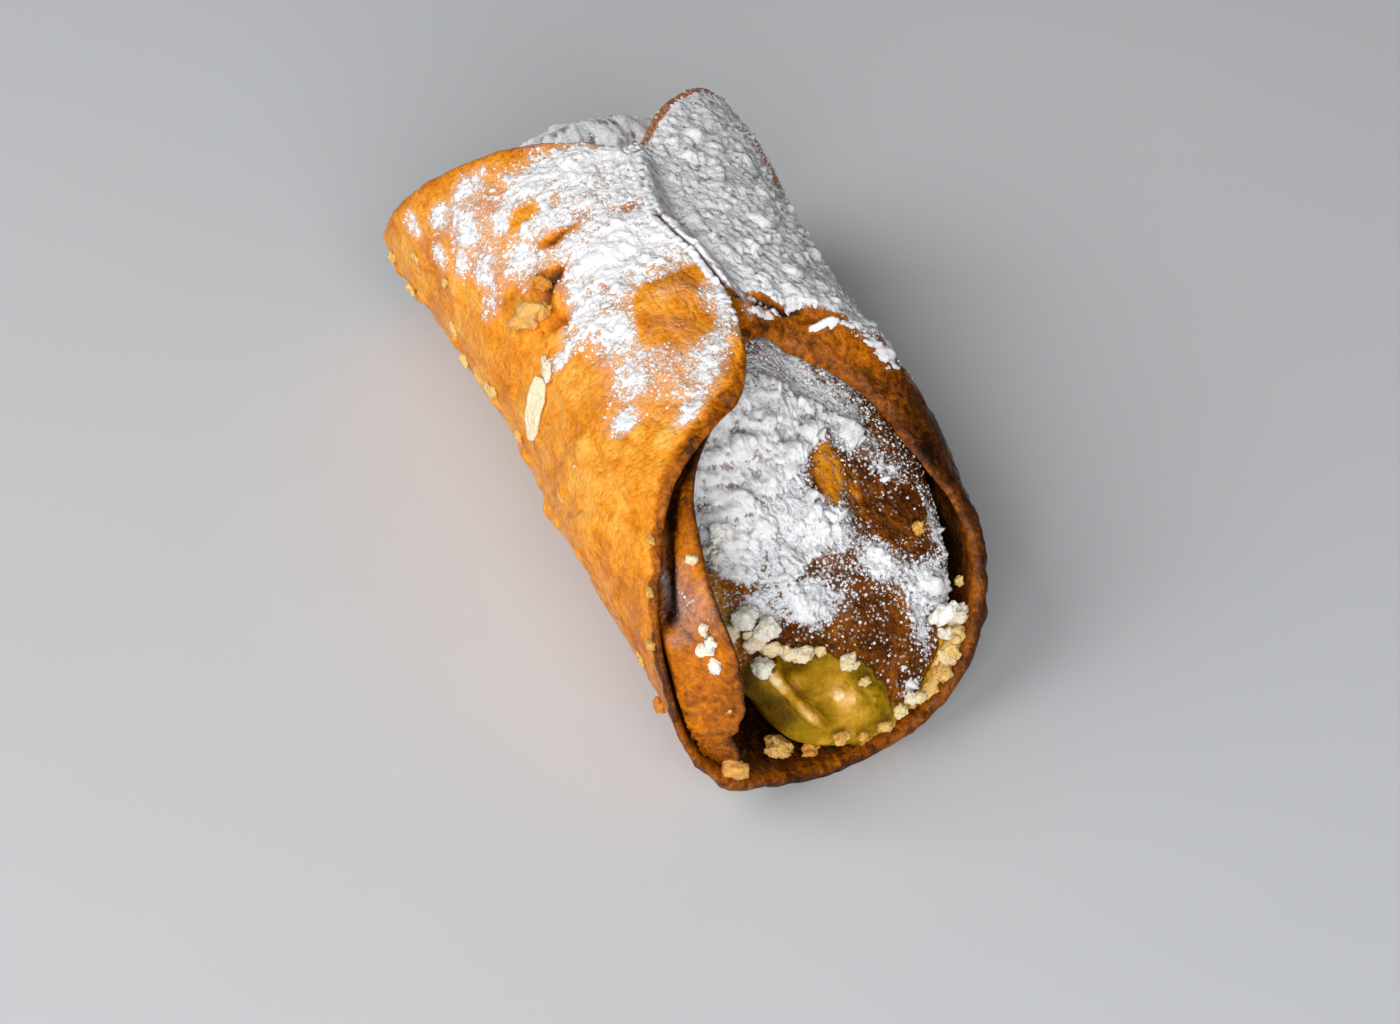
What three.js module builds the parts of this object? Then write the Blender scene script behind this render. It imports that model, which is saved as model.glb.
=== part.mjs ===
// A fried pastry roll: one sheet of dough lapped over itself round a creamy
// filling that shows at both slanting mouths. Millimetres, +Z up, the roll's
// axis along Y, its wide-open mouth towards -Y, lying on a flat spot at z = 0.
import * as THREE from "three";

// ---- Driving dimensions of the sheet ----
const HALF_WIDTH = 26;       // of the roll at its waist, before its flares
const HALF_HEIGHT = 23.7;
const FOOT_DEPTH = 0.6;      // how much of the round underside the foot flattens
const DOUGH = 2.6;           // thickness of the fried sheet
const LAP_GAP = 0.5;         // air between the two laps on top and on the left
const LAP_START = 300;       // turn at which the sheet begins to duck under
const LAP_END = 352;         // turn at which it is a full lap further in
const END_TURN = 500;        // where the inner tongue ends
const EDGE_THICKNESS = 0.5;  // share of the thickness left at the two cut sides
const RIM_BULGE = 0.35;      // how far a rim rounds out, in thicknesses
const RIM_CURL = 3.2;        // inward roll of the right flap's near rim
const RIM_CURL_REACH = 8;
const TONGUE_CURL_REACH = 16;
const SIDE_SHIFT = 0.28;     // brings the middle of the footprint to x = 0

// A "turn" is the angle in degrees round the roll, from the free edge on top,
// down the left side (-X), under, up the right side and in beneath the start.
// Each stop is [turn, place along the roll].
const NEAR_EDGE = [
  [0, -16], [4, -20.7], [12, -26.6], [28, -30.6], [47, -35.5], [71, -45.6],
  [92, -52.5], [112, -57], [130, -58.8], [152, -56.6], [180, -55],
  [230, -50.3], [270, -38],
  [310, -21], [335, -11.5], [360, -14], [380, -24], [405, -35.8],
  [421, -51.5], [432, -55.6], [485, -58], [END_TURN, -54],
];
const FAR_EDGE = [
  [0, 27.1], [17, 32.9], [47, 41.8], [85, 51.2], [110, 56.4], [145, 58.6],
  [180, 58.8], [270, 53.5], [308, 48.5], [330, 42], [350, 31.8],
  [362, 27.5], [410, 34], [END_TURN, 42],
];
// The free edge wanders a little: [place along the roll, turn].
const SEAM = [[-16, 0], [-9, -3], [0, -1], [10, 3.5], [19, 1], [27, -3]];
const SEAM_FADE = 6;         // how fast the wander dies out round the roll
// Inward bend of the tongue's near end: [turn, millimetres].
const TONGUE_CURL = [
  [380, 0], [405, 0.9], [414, 1.6], [421, 3.2], [431, 5.4],
  [450, 6.4], [462, 5.6], [478, 2.4], [492, 0.2], [END_TURN, 0],
];

// ---- Driving dimensions of the filling ----
const CLEARANCE = 0.8;       // between the filling and the sheet that lines it
const TONGUE_STEP = 22;      // turn over which the filling fills out past the tongue
const MOUTH_TOP = 41;        // height of the upper end of the two slanting faces
const MOUTH_LOW = 5;         // and of their lower end
const NEAR_FACE = { top: -16, low: -57, dome: 4.6 };
const FAR_FACE = { top: 45, low: 54, dome: 4 };
const FACE_ROUNDING = 3.4;   // how far the face falls back at its rim
const FACE_SHRINK = 0.9;     // how far the rim of a face draws in from the wall
const FILLING_MIDDLE = { x: 1.2, z: 23 };
// The heap of cream that stands proud of the top edge of the far mouth.
const MOUND = { angle: -4, halfAngle: 24, along: 46, reach: 6.5, rise: 3.4 };
// Where the filling stands back from the sheet at the near mouth: under the
// cream at the lower left, and beside it at the upper right.
const HOLLOWS = [
  { angle: -147, halfAngle: 24, depth: 4.2, reach: 15 },
  { angle: 62, halfAngle: 26, depth: 1.8, reach: 14 },
];

// ---- Mesh resolution ----
const SHEET_COLUMNS = 72;
const SHEET_ROWS = 22;
const SHEET_EASE = 1.25;     // columns crowd towards the free edge
const FILLING_SECTORS = 40;
const FACE_RINGS = 7;
const SIDE_RINGS = 8;

const { clamp, degToRad, lerp, radToDeg } = THREE.MathUtils;

// ---- Small curves ----

function smoothStep(from, to, value) {
  const t = clamp((value - from) / (to - from), 0, 1);
  return t * t * (3 - 2 * t);
}

function swell(middle, halfWidth, value) {
  return Math.exp(-(((value - middle) / halfWidth) ** 2));
}

// A smooth curve through [place, value] stops, as a function of the place.
function through(stops) {
  const last = stops.length - 1;
  const slope = (i, j) => (stops[j][1] - stops[i][1]) / (stops[j][0] - stops[i][0]);
  const slopes = stops.map((_, i) => slope(Math.max(i - 1, 0), Math.min(i + 1, last)));
  return (place) => {
    const x = clamp(place, stops[0][0], stops[last][0]);
    let i = 0;
    while (i < last - 1 && x >= stops[i + 1][0]) i += 1;
    const width = stops[i + 1][0] - stops[i][0];
    const t = (x - stops[i][0]) / width;
    const rise = t * t * (3 - 2 * t);
    return (
      (1 - rise) * stops[i][1] +
      rise * stops[i + 1][1] +
      width * t * (1 - t) * ((1 - t) * slopes[i] - t * slopes[i + 1])
    );
  };
}

const nearEdge = through(NEAR_EDGE);
const farEdge = through(FAR_EDGE);
const seamTurn = through(SEAM);
const tongueCurl = through(TONGUE_CURL);

// ---- The roll's hand-made section ----

// Half the roll's width at an angle from the top and a place along the roll:
// a waist, a flare at the far end and soft swellings down the right side.
function halfWidth(angle, along) {
  const side = Math.sin(angle);
  const left = Math.max(0, -side) ** 0.7;
  const right = Math.max(0, side) ** 0.7;
  const leftFlare =
    0.9 * smoothStep(-45, -20, along) +
    smoothStep(0, 40, along) +
    1.2 * smoothStep(28, 56, along);
  const rightFlare =
    1.2 * smoothStep(-5, 45, along) +
    1.3 * swell(42, 10, along) +
    swell(3, 10, along) +
    0.8 * swell(-26, 10, along);
  const waist = 0.9 * swell(-4, 20, along);
  const nearLip = 0.8 * smoothStep(-30, -55, along);
  return HALF_WIDTH - waist + nearLip + leftFlare * left + rightFlare * right;
}

// Slow waves of the surface, fading out towards the underside.
function unevenness(angle, along) {
  const waves =
    0.3 * Math.sin(2 * angle + 0.11 * along + 0.6) +
    0.22 * Math.sin(3 * angle - 0.15 * along + 2.1) +
    0.16 * Math.sin(5 * angle + 0.23 * along);
  return waves * smoothStep(-1, -0.4, Math.cos(angle));
}

// A point of the roll at a depth below its outside.
function rollPoint(angle, along, depth) {
  const proud = unevenness(angle, along) - depth;
  const x = (halfWidth(angle, along) + proud) * Math.sin(angle);
  const z = HALF_HEIGHT - FOOT_DEPTH + (HALF_HEIGHT + proud) * Math.cos(angle);
  return new THREE.Vector3(x + SIDE_SHIFT, along, z);
}

// ---- The dough sheet ----

// How far the sheet lies inside the roll's outside at a turn and a distance
// from its near edge: the lap, the rolled right rim and the bent tongue.
function sheetDepth(turn, fromNear) {
  const lap = (DOUGH + LAP_GAP) * smoothStep(LAP_START, LAP_END, turn);
  const onRightFlap = smoothStep(262, 300, turn) * (1 - smoothStep(328, 352, turn));
  const rimFade = Math.max(0, 1 - fromNear / RIM_CURL_REACH) ** 2;
  const tongueFade = Math.max(0, 1 - fromNear / TONGUE_CURL_REACH) ** 2;
  return lap + RIM_CURL * onRightFlap * rimFade + tongueCurl(turn) * tongueFade;
}

// One ring of the sheet, across its outside, round its far rim, back across
// its inside and round its near rim, at a share of the way round the roll.
function sheetRing(share) {
  const turnHere = END_TURN * share ** SHEET_EASE;
  const near = nearEdge(turnHere);
  const far = farEdge(turnHere);
  const atSide = share === 0 || share === 1;
  const thickness = DOUGH * (atSide ? EDGE_THICKNESS : 1);
  const level = atSide ? (DOUGH - thickness) / 2 : 0;
  const point = (along, depth) => {
    const turn = turnHere + seamTurn(along) * (1 - share) ** SEAM_FADE;
    const down = level + depth + sheetDepth(turn, along - near);
    const place = rollPoint(-degToRad(turn), along, down);
    place.z = Math.max(0, place.z);
    return place;
  };
  const ring = [];
  for (let row = 0; row <= SHEET_ROWS; row += 1) {
    ring.push(point(lerp(near, far, row / SHEET_ROWS), 0));
  }
  ring.push(point(far + RIM_BULGE * thickness, thickness / 2));
  for (let row = SHEET_ROWS; row >= 0; row -= 1) {
    ring.push(point(lerp(near, far, row / SHEET_ROWS), thickness));
  }
  ring.push(point(near - RIM_BULGE * thickness, thickness / 2));
  return ring;
}

// Triangles that close a ring of the sheet into a strip across its thickness.
function sheetCap(start, flip) {
  const outside = (row) => start + row;
  const inside = (row) => start + 2 * SHEET_ROWS + 2 - row;
  const farRim = start + SHEET_ROWS + 1;
  const nearRim = start + 2 * SHEET_ROWS + 3;
  const faces = [
    [outside(0), inside(0), nearRim],
    [outside(SHEET_ROWS), farRim, inside(SHEET_ROWS)],
  ];
  for (let row = 0; row < SHEET_ROWS; row += 1) {
    faces.push([outside(row), outside(row + 1), inside(row + 1)]);
    faces.push([outside(row), inside(row + 1), inside(row)]);
  }
  return faces.flatMap(([a, b, c]) => (flip ? [a, b, c] : [a, c, b]));
}

// Triangles between neighbouring closed rings of the same number of points.
function ringWall(ringCount, ringSize) {
  const faces = [];
  for (let ring = 0; ring < ringCount - 1; ring += 1) {
    for (let k = 0; k < ringSize; k += 1) {
      const next = (k + 1) % ringSize;
      const a = ring * ringSize + k;
      const b = ring * ringSize + next;
      const c = (ring + 1) * ringSize + k;
      const d = (ring + 1) * ringSize + next;
      faces.push(a, b, c, b, d, c);
    }
  }
  return faces;
}

function solidFrom(points, faces) {
  const geometry = new THREE.BufferGeometry();
  geometry.setFromPoints(points);
  geometry.setIndex(faces);
  geometry.computeVertexNormals();
  return geometry;
}

function doughSheet() {
  const rings = [];
  for (let column = 0; column <= SHEET_COLUMNS; column += 1) {
    rings.push(sheetRing(column / SHEET_COLUMNS));
  }
  const ringSize = rings[0].length;
  const faces = [
    ...ringWall(rings.length, ringSize),
    ...sheetCap(0, false),
    ...sheetCap(SHEET_COLUMNS * ringSize, true),
  ];
  return solidFrom(rings.flat(), faces);
}

// ---- The filling ----

// Place along the roll of a slanting face at a height.
function facePlane(face, height) {
  return lerp(face.top, face.low, (MOUTH_TOP - height) / (MOUTH_TOP - MOUTH_LOW));
}

// Depth of the filling's skin, just inside the innermost lap of the sheet.
function liningDepth(degrees, along) {
  const turn = 360 - degrees;
  const lapTurn = Math.min(turn, END_TURN);
  const fromNear = Math.max(0, along - nearEdge(lapTurn));
  const pastTongue = smoothStep(END_TURN + 3, END_TURN + TONGUE_STEP, turn);
  return DOUGH + CLEARANCE + lerp(sheetDepth(lapTurn, fromNear), 0, pastTongue);
}

// A point of the filling's wall at an angle and a place along the roll.
function wallPoint(angle, along, drawIn) {
  const degrees = radToDeg(angle);
  const fromFace = along - facePlane(NEAR_FACE, rollPoint(angle, along, 0).z);
  let hollow = 0;
  for (const each of HOLLOWS) {
    const fade = 1 - smoothStep(0, each.reach, fromFace);
    hollow += each.depth * swell(each.angle, each.halfAngle, degrees) * fade;
  }
  const mound =
    MOUND.rise *
    swell(MOUND.angle, MOUND.halfAngle, degrees) *
    swell(MOUND.along, MOUND.reach, along);
  return rollPoint(angle, along, liningDepth(degrees, along) + drawIn + hollow - mound);
}

// A ring of a slanting face: share 1 is its rim, 0 its middle.
function faceRing(face, share) {
  const outward = Math.sign(face.low);
  const fallBack = FACE_ROUNDING * (1 - Math.sqrt(1 - share ** 4));
  const doming = face.dome * (1 - share ** 2);
  const ring = [];
  for (let k = 0; k < FILLING_SECTORS; k += 1) {
    const angle = -Math.PI + (2 * Math.PI * k) / FILLING_SECTORS;
    const rimHeight = wallPoint(angle, facePlane(face, MOUTH_LOW), FACE_SHRINK).z;
    const rimAlong = facePlane(face, rimHeight) - outward * FACE_ROUNDING;
    const rim = wallPoint(angle, rimAlong, FACE_SHRINK);
    const x = lerp(FILLING_MIDDLE.x, rim.x, share);
    const z = lerp(FILLING_MIDDLE.z, rim.z, share);
    ring.push(new THREE.Vector3(x, facePlane(face, z) + outward * (doming - fallBack), z));
  }
  return ring;
}

// A ring of the wall between the two faces, at a share of the way.
function sideRing(share) {
  const ring = [];
  for (let k = 0; k < FILLING_SECTORS; k += 1) {
    const angle = -Math.PI + (2 * Math.PI * k) / FILLING_SECTORS;
    const height = wallPoint(angle, 0, 0).z;
    const near = facePlane(NEAR_FACE, height) + FACE_ROUNDING;
    const far = facePlane(FAR_FACE, height) - FACE_ROUNDING;
    const along = lerp(near, far, lerp(0.04, 0.96, share));
    ring.push(wallPoint(angle, along, 0));
  }
  return ring;
}

function creamFilling() {
  const rings = [];
  for (let k = 1; k <= FACE_RINGS; k += 1) rings.push(faceRing(NEAR_FACE, k / FACE_RINGS));
  for (let k = 0; k <= SIDE_RINGS; k += 1) rings.push(sideRing(k / SIDE_RINGS));
  for (let k = FACE_RINGS; k >= 1; k -= 1) rings.push(faceRing(FAR_FACE, k / FACE_RINGS));
  const points = rings.flat();
  const nearPole = points.length;
  const farPole = nearPole + 1;
  points.push(faceRing(NEAR_FACE, 0)[0], faceRing(FAR_FACE, 0)[0]);
  const faces = ringWall(rings.length, FILLING_SECTORS);
  const lastRing = (rings.length - 1) * FILLING_SECTORS;
  for (let k = 0; k < FILLING_SECTORS; k += 1) {
    const next = (k + 1) % FILLING_SECTORS;
    faces.push(nearPole, next, k);
    faces.push(farPole, lastRing + k, lastRing + next);
  }
  return solidFrom(points, faces);
}

// ---- The pastry ----

function piece(name, geometry, color, roughness) {
  const material = new THREE.MeshStandardMaterial({ color, roughness, metalness: 0 });
  const mesh = new THREE.Mesh(geometry, material);
  mesh.name = name;
  return mesh;
}

const pastry = new THREE.Group();
pastry.add(
  piece("shell", doughSheet(), 0xd08a3a, 0.45),
  piece("filling", creamFilling(), 0xe2d8a8, 0.8),
);

export default pastry;
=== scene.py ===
"""A fried pastry roll with a custard filling under a browned, sugared skin.

Every length is in millimetres until a mesh is made, and the frame is that of the
solids: +Z up, the roll's axis along Y, its wide-open mouth towards -Y. A "turn" is
the angle in degrees round the roll, from the free edge on top, down the left side
(-X), under, up the right side and in beneath the start. A place on the sheet is a turn
and a length along the roll; one on the roll is an angle from the top, over 0 to the
right, and a length along. A number added to a map coordinate before noise or bubbles
are asked for only picks another stretch of the same pattern.
"""
from __future__ import annotations

import logging
import math
from dataclasses import dataclass, field
from enum import Enum
from typing import Callable, Iterable, Optional, Sequence, Union

import bmesh
import bpy
import numpy as np
from mathutils import Matrix, Vector

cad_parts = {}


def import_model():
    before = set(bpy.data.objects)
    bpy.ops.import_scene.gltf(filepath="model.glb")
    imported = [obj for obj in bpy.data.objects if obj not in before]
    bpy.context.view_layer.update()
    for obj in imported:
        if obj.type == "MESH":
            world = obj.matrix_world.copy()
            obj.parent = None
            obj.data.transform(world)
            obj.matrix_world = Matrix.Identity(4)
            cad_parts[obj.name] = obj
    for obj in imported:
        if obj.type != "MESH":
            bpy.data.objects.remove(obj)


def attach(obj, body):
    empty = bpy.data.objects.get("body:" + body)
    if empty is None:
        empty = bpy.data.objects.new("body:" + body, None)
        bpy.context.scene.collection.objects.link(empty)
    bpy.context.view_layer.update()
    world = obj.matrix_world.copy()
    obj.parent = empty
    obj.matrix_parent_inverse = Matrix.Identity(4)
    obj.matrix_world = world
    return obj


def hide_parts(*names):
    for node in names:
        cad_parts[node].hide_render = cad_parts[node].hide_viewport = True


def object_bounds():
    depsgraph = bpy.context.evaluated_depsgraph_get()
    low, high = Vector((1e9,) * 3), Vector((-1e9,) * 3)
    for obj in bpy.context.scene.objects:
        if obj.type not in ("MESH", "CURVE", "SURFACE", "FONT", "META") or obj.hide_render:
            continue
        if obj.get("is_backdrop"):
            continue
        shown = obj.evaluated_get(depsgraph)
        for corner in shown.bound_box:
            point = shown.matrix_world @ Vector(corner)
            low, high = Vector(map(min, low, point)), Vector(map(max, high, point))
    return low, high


LOG = logging.getLogger("pastry")
MM = 0.001
ARC = math.radians(26.0)  # millimetres round the roll for each degree of turn

Array = np.ndarray
Number = Union[float, Array]
Pair = tuple[float, float]
Triple = tuple[float, float, float]
Mask = Callable[[Array, Array], Array]


class Slot(Enum):
    """Material slots."""

    SHELL = "shell"
    FILLING = "filling"
    SUGAR = "sugar"
    CRUMBS = "crumbs"


class Layer(str, Enum):
    """The painted layers that the finishes read from a mesh."""

    BAKE = "bake"
    DUST = "dust"
    SKIN = "skin"
    PEEL = "peel"
    TONE = "tone"
    SCATTER = "scatter"


# ---- Small curves, patches and noise ----


def rising(start: float, stop: float, value: Number) -> Array:
    """Rises smoothly from 0 at start to 1 at stop."""
    t = np.clip((np.asarray(value, float) - start) / (stop - start), 0.0, 1.0)
    return t * t * (3.0 - 2.0 * t)


def falling(start: float, stop: float, value: Number) -> Array:
    """Falls smoothly from 1 at start to 0 at stop."""
    return 1.0 - rising(start, stop, value)


def within(start: float, full: float, wane: float, stop: float, value: Number) -> Array:
    """Rises smoothly from 0 at start to 1 at full and falls from wane to 0 at stop."""
    return rising(start, full, value) * falling(wane, stop, value)


def swell(middle: float, half_width: float, value: Number) -> Array:
    """A bell of height 1 round middle; returns its height at each value."""
    return np.exp(-(((np.asarray(value, float) - middle) / half_width) ** 2))


class Curve:
    """A smooth curve through [place, value] stops."""

    def __init__(self, stops: Sequence[Sequence[float]]) -> None:
        """Keeps the stops and works out the slope at each.

        Args:
            stops: pairs of a place and the value there, in order of place.
        """
        self.places, self.values = np.array(stops, float).T
        last = len(self.places) - 1
        low = np.maximum(np.arange(last + 1) - 1, 0)
        high = np.minimum(np.arange(last + 1) + 1, last)
        rise = self.values[high] - self.values[low]
        self.slopes = rise / (self.places[high] - self.places[low])

    def __call__(self, place: Number) -> Array:
        """The curve's value at each place, held level beyond its ends.

        Args:
            place: the places asked for.

        Returns:
            The value at each place.
        """
        x = np.clip(np.asarray(place, float), self.places[0], self.places[-1])
        i = np.searchsorted(self.places, x, side="right") - 1
        i = np.clip(i, 0, len(self.places) - 2)
        width = self.places[i + 1] - self.places[i]
        t = (x - self.places[i]) / width
        rise = t * t * (3.0 - 2.0 * t)
        bend = (1.0 - t) * self.slopes[i] - t * self.slopes[i + 1]
        straight = (1.0 - rise) * self.values[i] + rise * self.values[i + 1]
        return straight + width * t * (1.0 - t) * bend


@dataclass(frozen=True)
class Patch:
    """A soft oval on a flat map.

    Attributes:
        at: its middle on the map.
        size: its half sizes along the map's two axes before it leans.
        lean: how far it is turned, in degrees, anticlockwise on the map.
        weight: its height in the middle.
    """

    at: Pair
    size: Pair
    lean: float = 0.0
    weight: float = 1.0

    def height(self, across: Array, up: Array) -> Array:
        """The patch's height at each point of the map.

        Args:
            across, up: the map's two coordinates.

        Returns:
            The height, highest in the middle and falling off as a bell.
        """
        c, s = math.cos(math.radians(self.lean)), math.sin(math.radians(self.lean))
        dx, dy = across - self.at[0], up - self.at[1]
        u, v = (dx * c + dy * s) / self.size[0], (dy * c - dx * s) / self.size[1]
        return self.weight * np.exp(-(u * u + v * v))


def on_sheet(
    turn: float, along: float, size: Pair, lean: float = 0.0, weight: float = 1.0
) -> Patch:
    """A patch on the sheet's map, given by its turn and its place along the roll."""
    return Patch((turn * ARC, along), size, lean, weight)


def patches(*rows: Sequence[float]) -> tuple[Patch, ...]:
    """Patches from rows of a middle, half sizes, a lean and a weight."""
    return tuple(Patch(row[:2], row[2:4], *row[4:]) for row in rows)


def sheet_patches(*rows: Sequence[float]) -> tuple[Patch, ...]:
    """Patches on the sheet's map, from rows that start with a turn."""
    return patches(*((row[0] * ARC, *row[1:]) for row in rows))


def heap(patches: Iterable[Patch], across: Array, up: Array) -> Array:
    """Adds up patches at each point of a map.

    Args:
        patches: the patches.
        across, up: the map's two coordinates.

    Returns:
        The sum of their heights.
    """
    total = np.zeros(np.broadcast(across, up).shape)
    for patch in patches:
        total += patch.height(across, up)
    return total


def beside_run(
    start: Pair, end: Pair, across: Array, up: Array
) -> tuple[Array, Array]:
    """Places points of a map along a straight run.

    Args:
        start, end: the run's two ends.
        across, up: the points.

    Returns:
        Their share of the run's length, and their distance beside it.
    """
    run = (end[0] - start[0], end[1] - start[1])
    length = math.hypot(*run)
    dx, dy = across - start[0], up - start[1]
    return (dx * run[0] + dy * run[1]) / length**2, (dx * run[1] - dy * run[0]) / length


@dataclass(frozen=True)
class Groove:
    """A crack between two places on a map, deepest in its middle.

    Attributes:
        start: one end on the map.
        end: the other end.
        width: half its width.
        depth: how deep it goes.
    """

    start: Pair
    end: Pair
    width: float
    depth: float

    def cut(self, across: Array, up: Array) -> Array:
        """How deep the crack is at each point of the map."""
        share, off = beside_run(self.start, self.end, across, up)
        return self.depth * within(-0.1, 0.15, 0.85, 1.1, share) * swell(0.0, self.width, off)


class Noise:
    """Seeded gradient noise over three coordinates, between about -1 and 1."""

    TABLE = 256

    def __init__(self, seed: int) -> None:
        """Shuffles the lattice and draws its gradients.

        Args:
            seed: the number that fixes the noise.
        """
        rng = np.random.default_rng(seed)
        self.order = np.tile(rng.permutation(self.TABLE), 3)
        gradients = rng.normal(size=(self.TABLE, 3))
        self.gradients = gradients / np.linalg.norm(gradients, axis=1, keepdims=True)

    def at(self, x: Number, y: Number, z: Number = 0.0) -> Array:
        """The noise at points whose coordinates are in lattice steps.

        Args:
            x, y, z: the points' coordinates.

        Returns:
            The noise at each point.
        """
        place = np.stack(np.broadcast_arrays(x, y, z), axis=-1).astype(float)
        cell = np.floor(place).astype(int)
        inside = place - cell
        fade = inside**3 * (inside * (inside * 6.0 - 15.0) + 10.0)
        total = np.zeros(place.shape[:-1])
        for corner in np.ndindex(2, 2, 2):
            offset = np.array(corner)
            i, j, k = np.moveaxis((cell + offset) % self.TABLE, -1, 0)
            pick = self.order[self.order[self.order[i] + j] + k]
            lean = np.sum(self.gradients[pick] * (inside - offset), axis=-1)
            share = np.prod(np.where(offset, fade, 1.0 - fade), axis=-1)
            total += lean * share
        return total * 1.5

    def layers(self, across: Number, up: Number, size: float, octaves: int = 3) -> Array:
        """Noise of several sizes added up, each half as large as the last.

        Args:
            across, up: the map's two coordinates, in millimetres.
            size: the largest size, in millimetres.
            octaves: how many sizes.

        Returns:
            The sum, still between about -1 and 1.
        """
        total: Number = 0.0
        for octave in range(octaves):
            scale = 2.0**octave / size
            total += self.at(across * scale, up * scale, 7.3 * octave) / 2.0**octave
        return total / (2.0 - 0.5 ** (octaves - 1))


def blurred(grid: Array, reach: int) -> Array:
    """A grid averaged over squares of cells, its edges repeated outwards.

    Args:
        grid: the grid.
        reach: how many cells each square reaches from its middle.

    Returns:
        The averaged grid.
    """
    for axis in (0, 1):
        edges = [(0, 0), (0, 0)]
        edges[axis] = (reach + 1, reach)
        total = np.cumsum(np.pad(grid, edges, mode="edge"), axis=axis)
        size = grid.shape[axis]
        grid = np.take(total, np.arange(size) + 2 * reach + 1, axis)
        grid = (grid - np.take(total, np.arange(size), axis)) / (2 * reach + 1)
    return grid


@dataclass(frozen=True)
class Bubbles:
    """Round domes scattered over a map, one to a cell of a square grid.

    Attributes:
        seed: the number that fixes them.
        spacing: the size of a cell.
        radius: the smallest and the largest radius, under half the spacing.
        share: how many of the cells hold one.
    """

    seed: int
    spacing: float
    radius: Pair
    share: float = 0.6

    TABLE = (97, 89)  # cells before the pattern repeats
    MARGIN = 0.15     # share of a cell that a middle keeps from its sides

    def at(self, across: Array, up: Array) -> Array:
        """The height of the domes, 1 at the top of the largest.

        Args:
            across, up: the map's two coordinates.

        Returns:
            The height at each point.
        """
        table = np.random.default_rng(self.seed).random((*self.TABLE, 4))
        column = np.floor(across / self.spacing).astype(int)
        row = np.floor(up / self.spacing).astype(int)
        best = np.zeros(np.broadcast(across, up).shape)
        for step_x in (-1, 0, 1):
            for step_y in (-1, 0, 1):
                i, j = column + step_x, row + step_y
                draw = table[i % self.TABLE[0], j % self.TABLE[1]]
                x = (i + self.MARGIN + (1.0 - 2.0 * self.MARGIN) * draw[..., 0]) * self.spacing
                y = (j + self.MARGIN + (1.0 - 2.0 * self.MARGIN) * draw[..., 1]) * self.spacing
                size = self.radius[0] + (self.radius[1] - self.radius[0]) * draw[..., 2] ** 2
                near = 1.0 - ((across - x) ** 2 + (up - y) ** 2) / size**2
                dome = np.sqrt(np.clip(near, 0.0, 1.0)) * np.clip(near * 3.0, 0.0, 1.0)
                dome = dome * size / self.radius[1] * (draw[..., 3] < self.share)
                best = np.maximum(best, dome)
        return best


# ---- Meshes ----


@dataclass
class Surface:
    """A mesh in the making, in millimetres.

    Attributes:
        points: blocks of points.
        faces: blocks of faces, three or four corners wide.
        layers: blocks of painted values, one value for each point.
    """

    points: list[Array] = field(default_factory=list)
    faces: list[Array] = field(default_factory=list)
    layers: dict[Layer, list[Array]] = field(default_factory=dict)
    count: int = 0

    def add(self, points: Array, faces: Iterable[Array], **layers: Array) -> Surface:
        """Adds a block of points with its faces and its painted values.

        Args:
            points: an array of points.
            faces: arrays of corner numbers within this block.
            **layers: a value for each point, by the layer's name.

        Returns:
            This surface.
        """
        self.points.append(points.reshape(-1, 3))
        for block in faces:
            self.faces.append(block + self.count)
        for name, values in layers.items():
            self.layers.setdefault(Layer(name), []).append(np.asarray(values).reshape(-1))
        self.count += self.points[-1].shape[0]
        return self

    def build(self, name: str) -> bpy.types.Object:
        """Makes the mesh object, in metres, smooth-shaded.

        Args:
            name: the object's name.

        Returns:
            The new object, linked to the scene.
        """
        mesh = bpy.data.meshes.new(name)
        corners = [block.reshape(-1) for block in self.faces]
        sizes = [np.full(len(block), block.shape[1]) for block in self.faces]
        loops, totals = np.concatenate(corners), np.concatenate(sizes)
        starts = np.concatenate([[0], np.cumsum(totals)[:-1]])
        mesh.vertices.add(self.count)
        mesh.vertices.foreach_set("co", (np.concatenate(self.points) * MM).ravel())
        mesh.loops.add(len(loops))
        mesh.loops.foreach_set("vertex_index", loops.astype(np.int32))
        mesh.polygons.add(len(totals))
        mesh.polygons.foreach_set("loop_start", starts.astype(np.int32))
        mesh.polygons.foreach_set("use_smooth", np.ones(len(totals), bool))
        mesh.update(calc_edges=True)
        mesh.validate()
        for layer, blocks in self.layers.items():
            attribute = mesh.attributes.new(layer.value, "FLOAT", "POINT")
            attribute.data.foreach_set("value", np.concatenate(blocks).astype(np.float32))
        return in_scene(name, mesh)


def in_scene(name: str, data: bpy.types.ID) -> bpy.types.Object:
    """Puts data into the scene.

    Args:
        name: the new object's name.
        data: what it holds.

    Returns:
        The object.
    """
    thing = bpy.data.objects.new(name, data)
    bpy.context.scene.collection.objects.link(thing)
    return thing


def grid(rows: Array, columns: Array) -> list[Array]:
    """The two coordinates of a grid's points, rows first."""
    return np.meshgrid(rows, columns, indexing="ij")


def turned_in(top: Array, bottom: Array) -> bool:
    """Whether a grid's cells face from top to bottom as their rows stand."""
    turned = np.cross(np.diff(top, axis=1)[:-1], np.diff(top, axis=0)[:, :-1])
    return np.sum(turned * (top - bottom)[:-1, :-1]) < 0.0


def ring_wall(rings: int, size: int) -> Array:
    """Four-cornered faces between neighbouring closed rings of equal size.

    Args:
        rings: how many rings.
        size: how many points each has.

    Returns:
        The faces.
    """
    ring, k = grid(np.arange(rings - 1), np.arange(size))
    here, beside = ring * size + k, ring * size + (k + 1) % size
    return np.stack([here, beside, beside + size, here + size], axis=-1).reshape(-1, 4)


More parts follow.
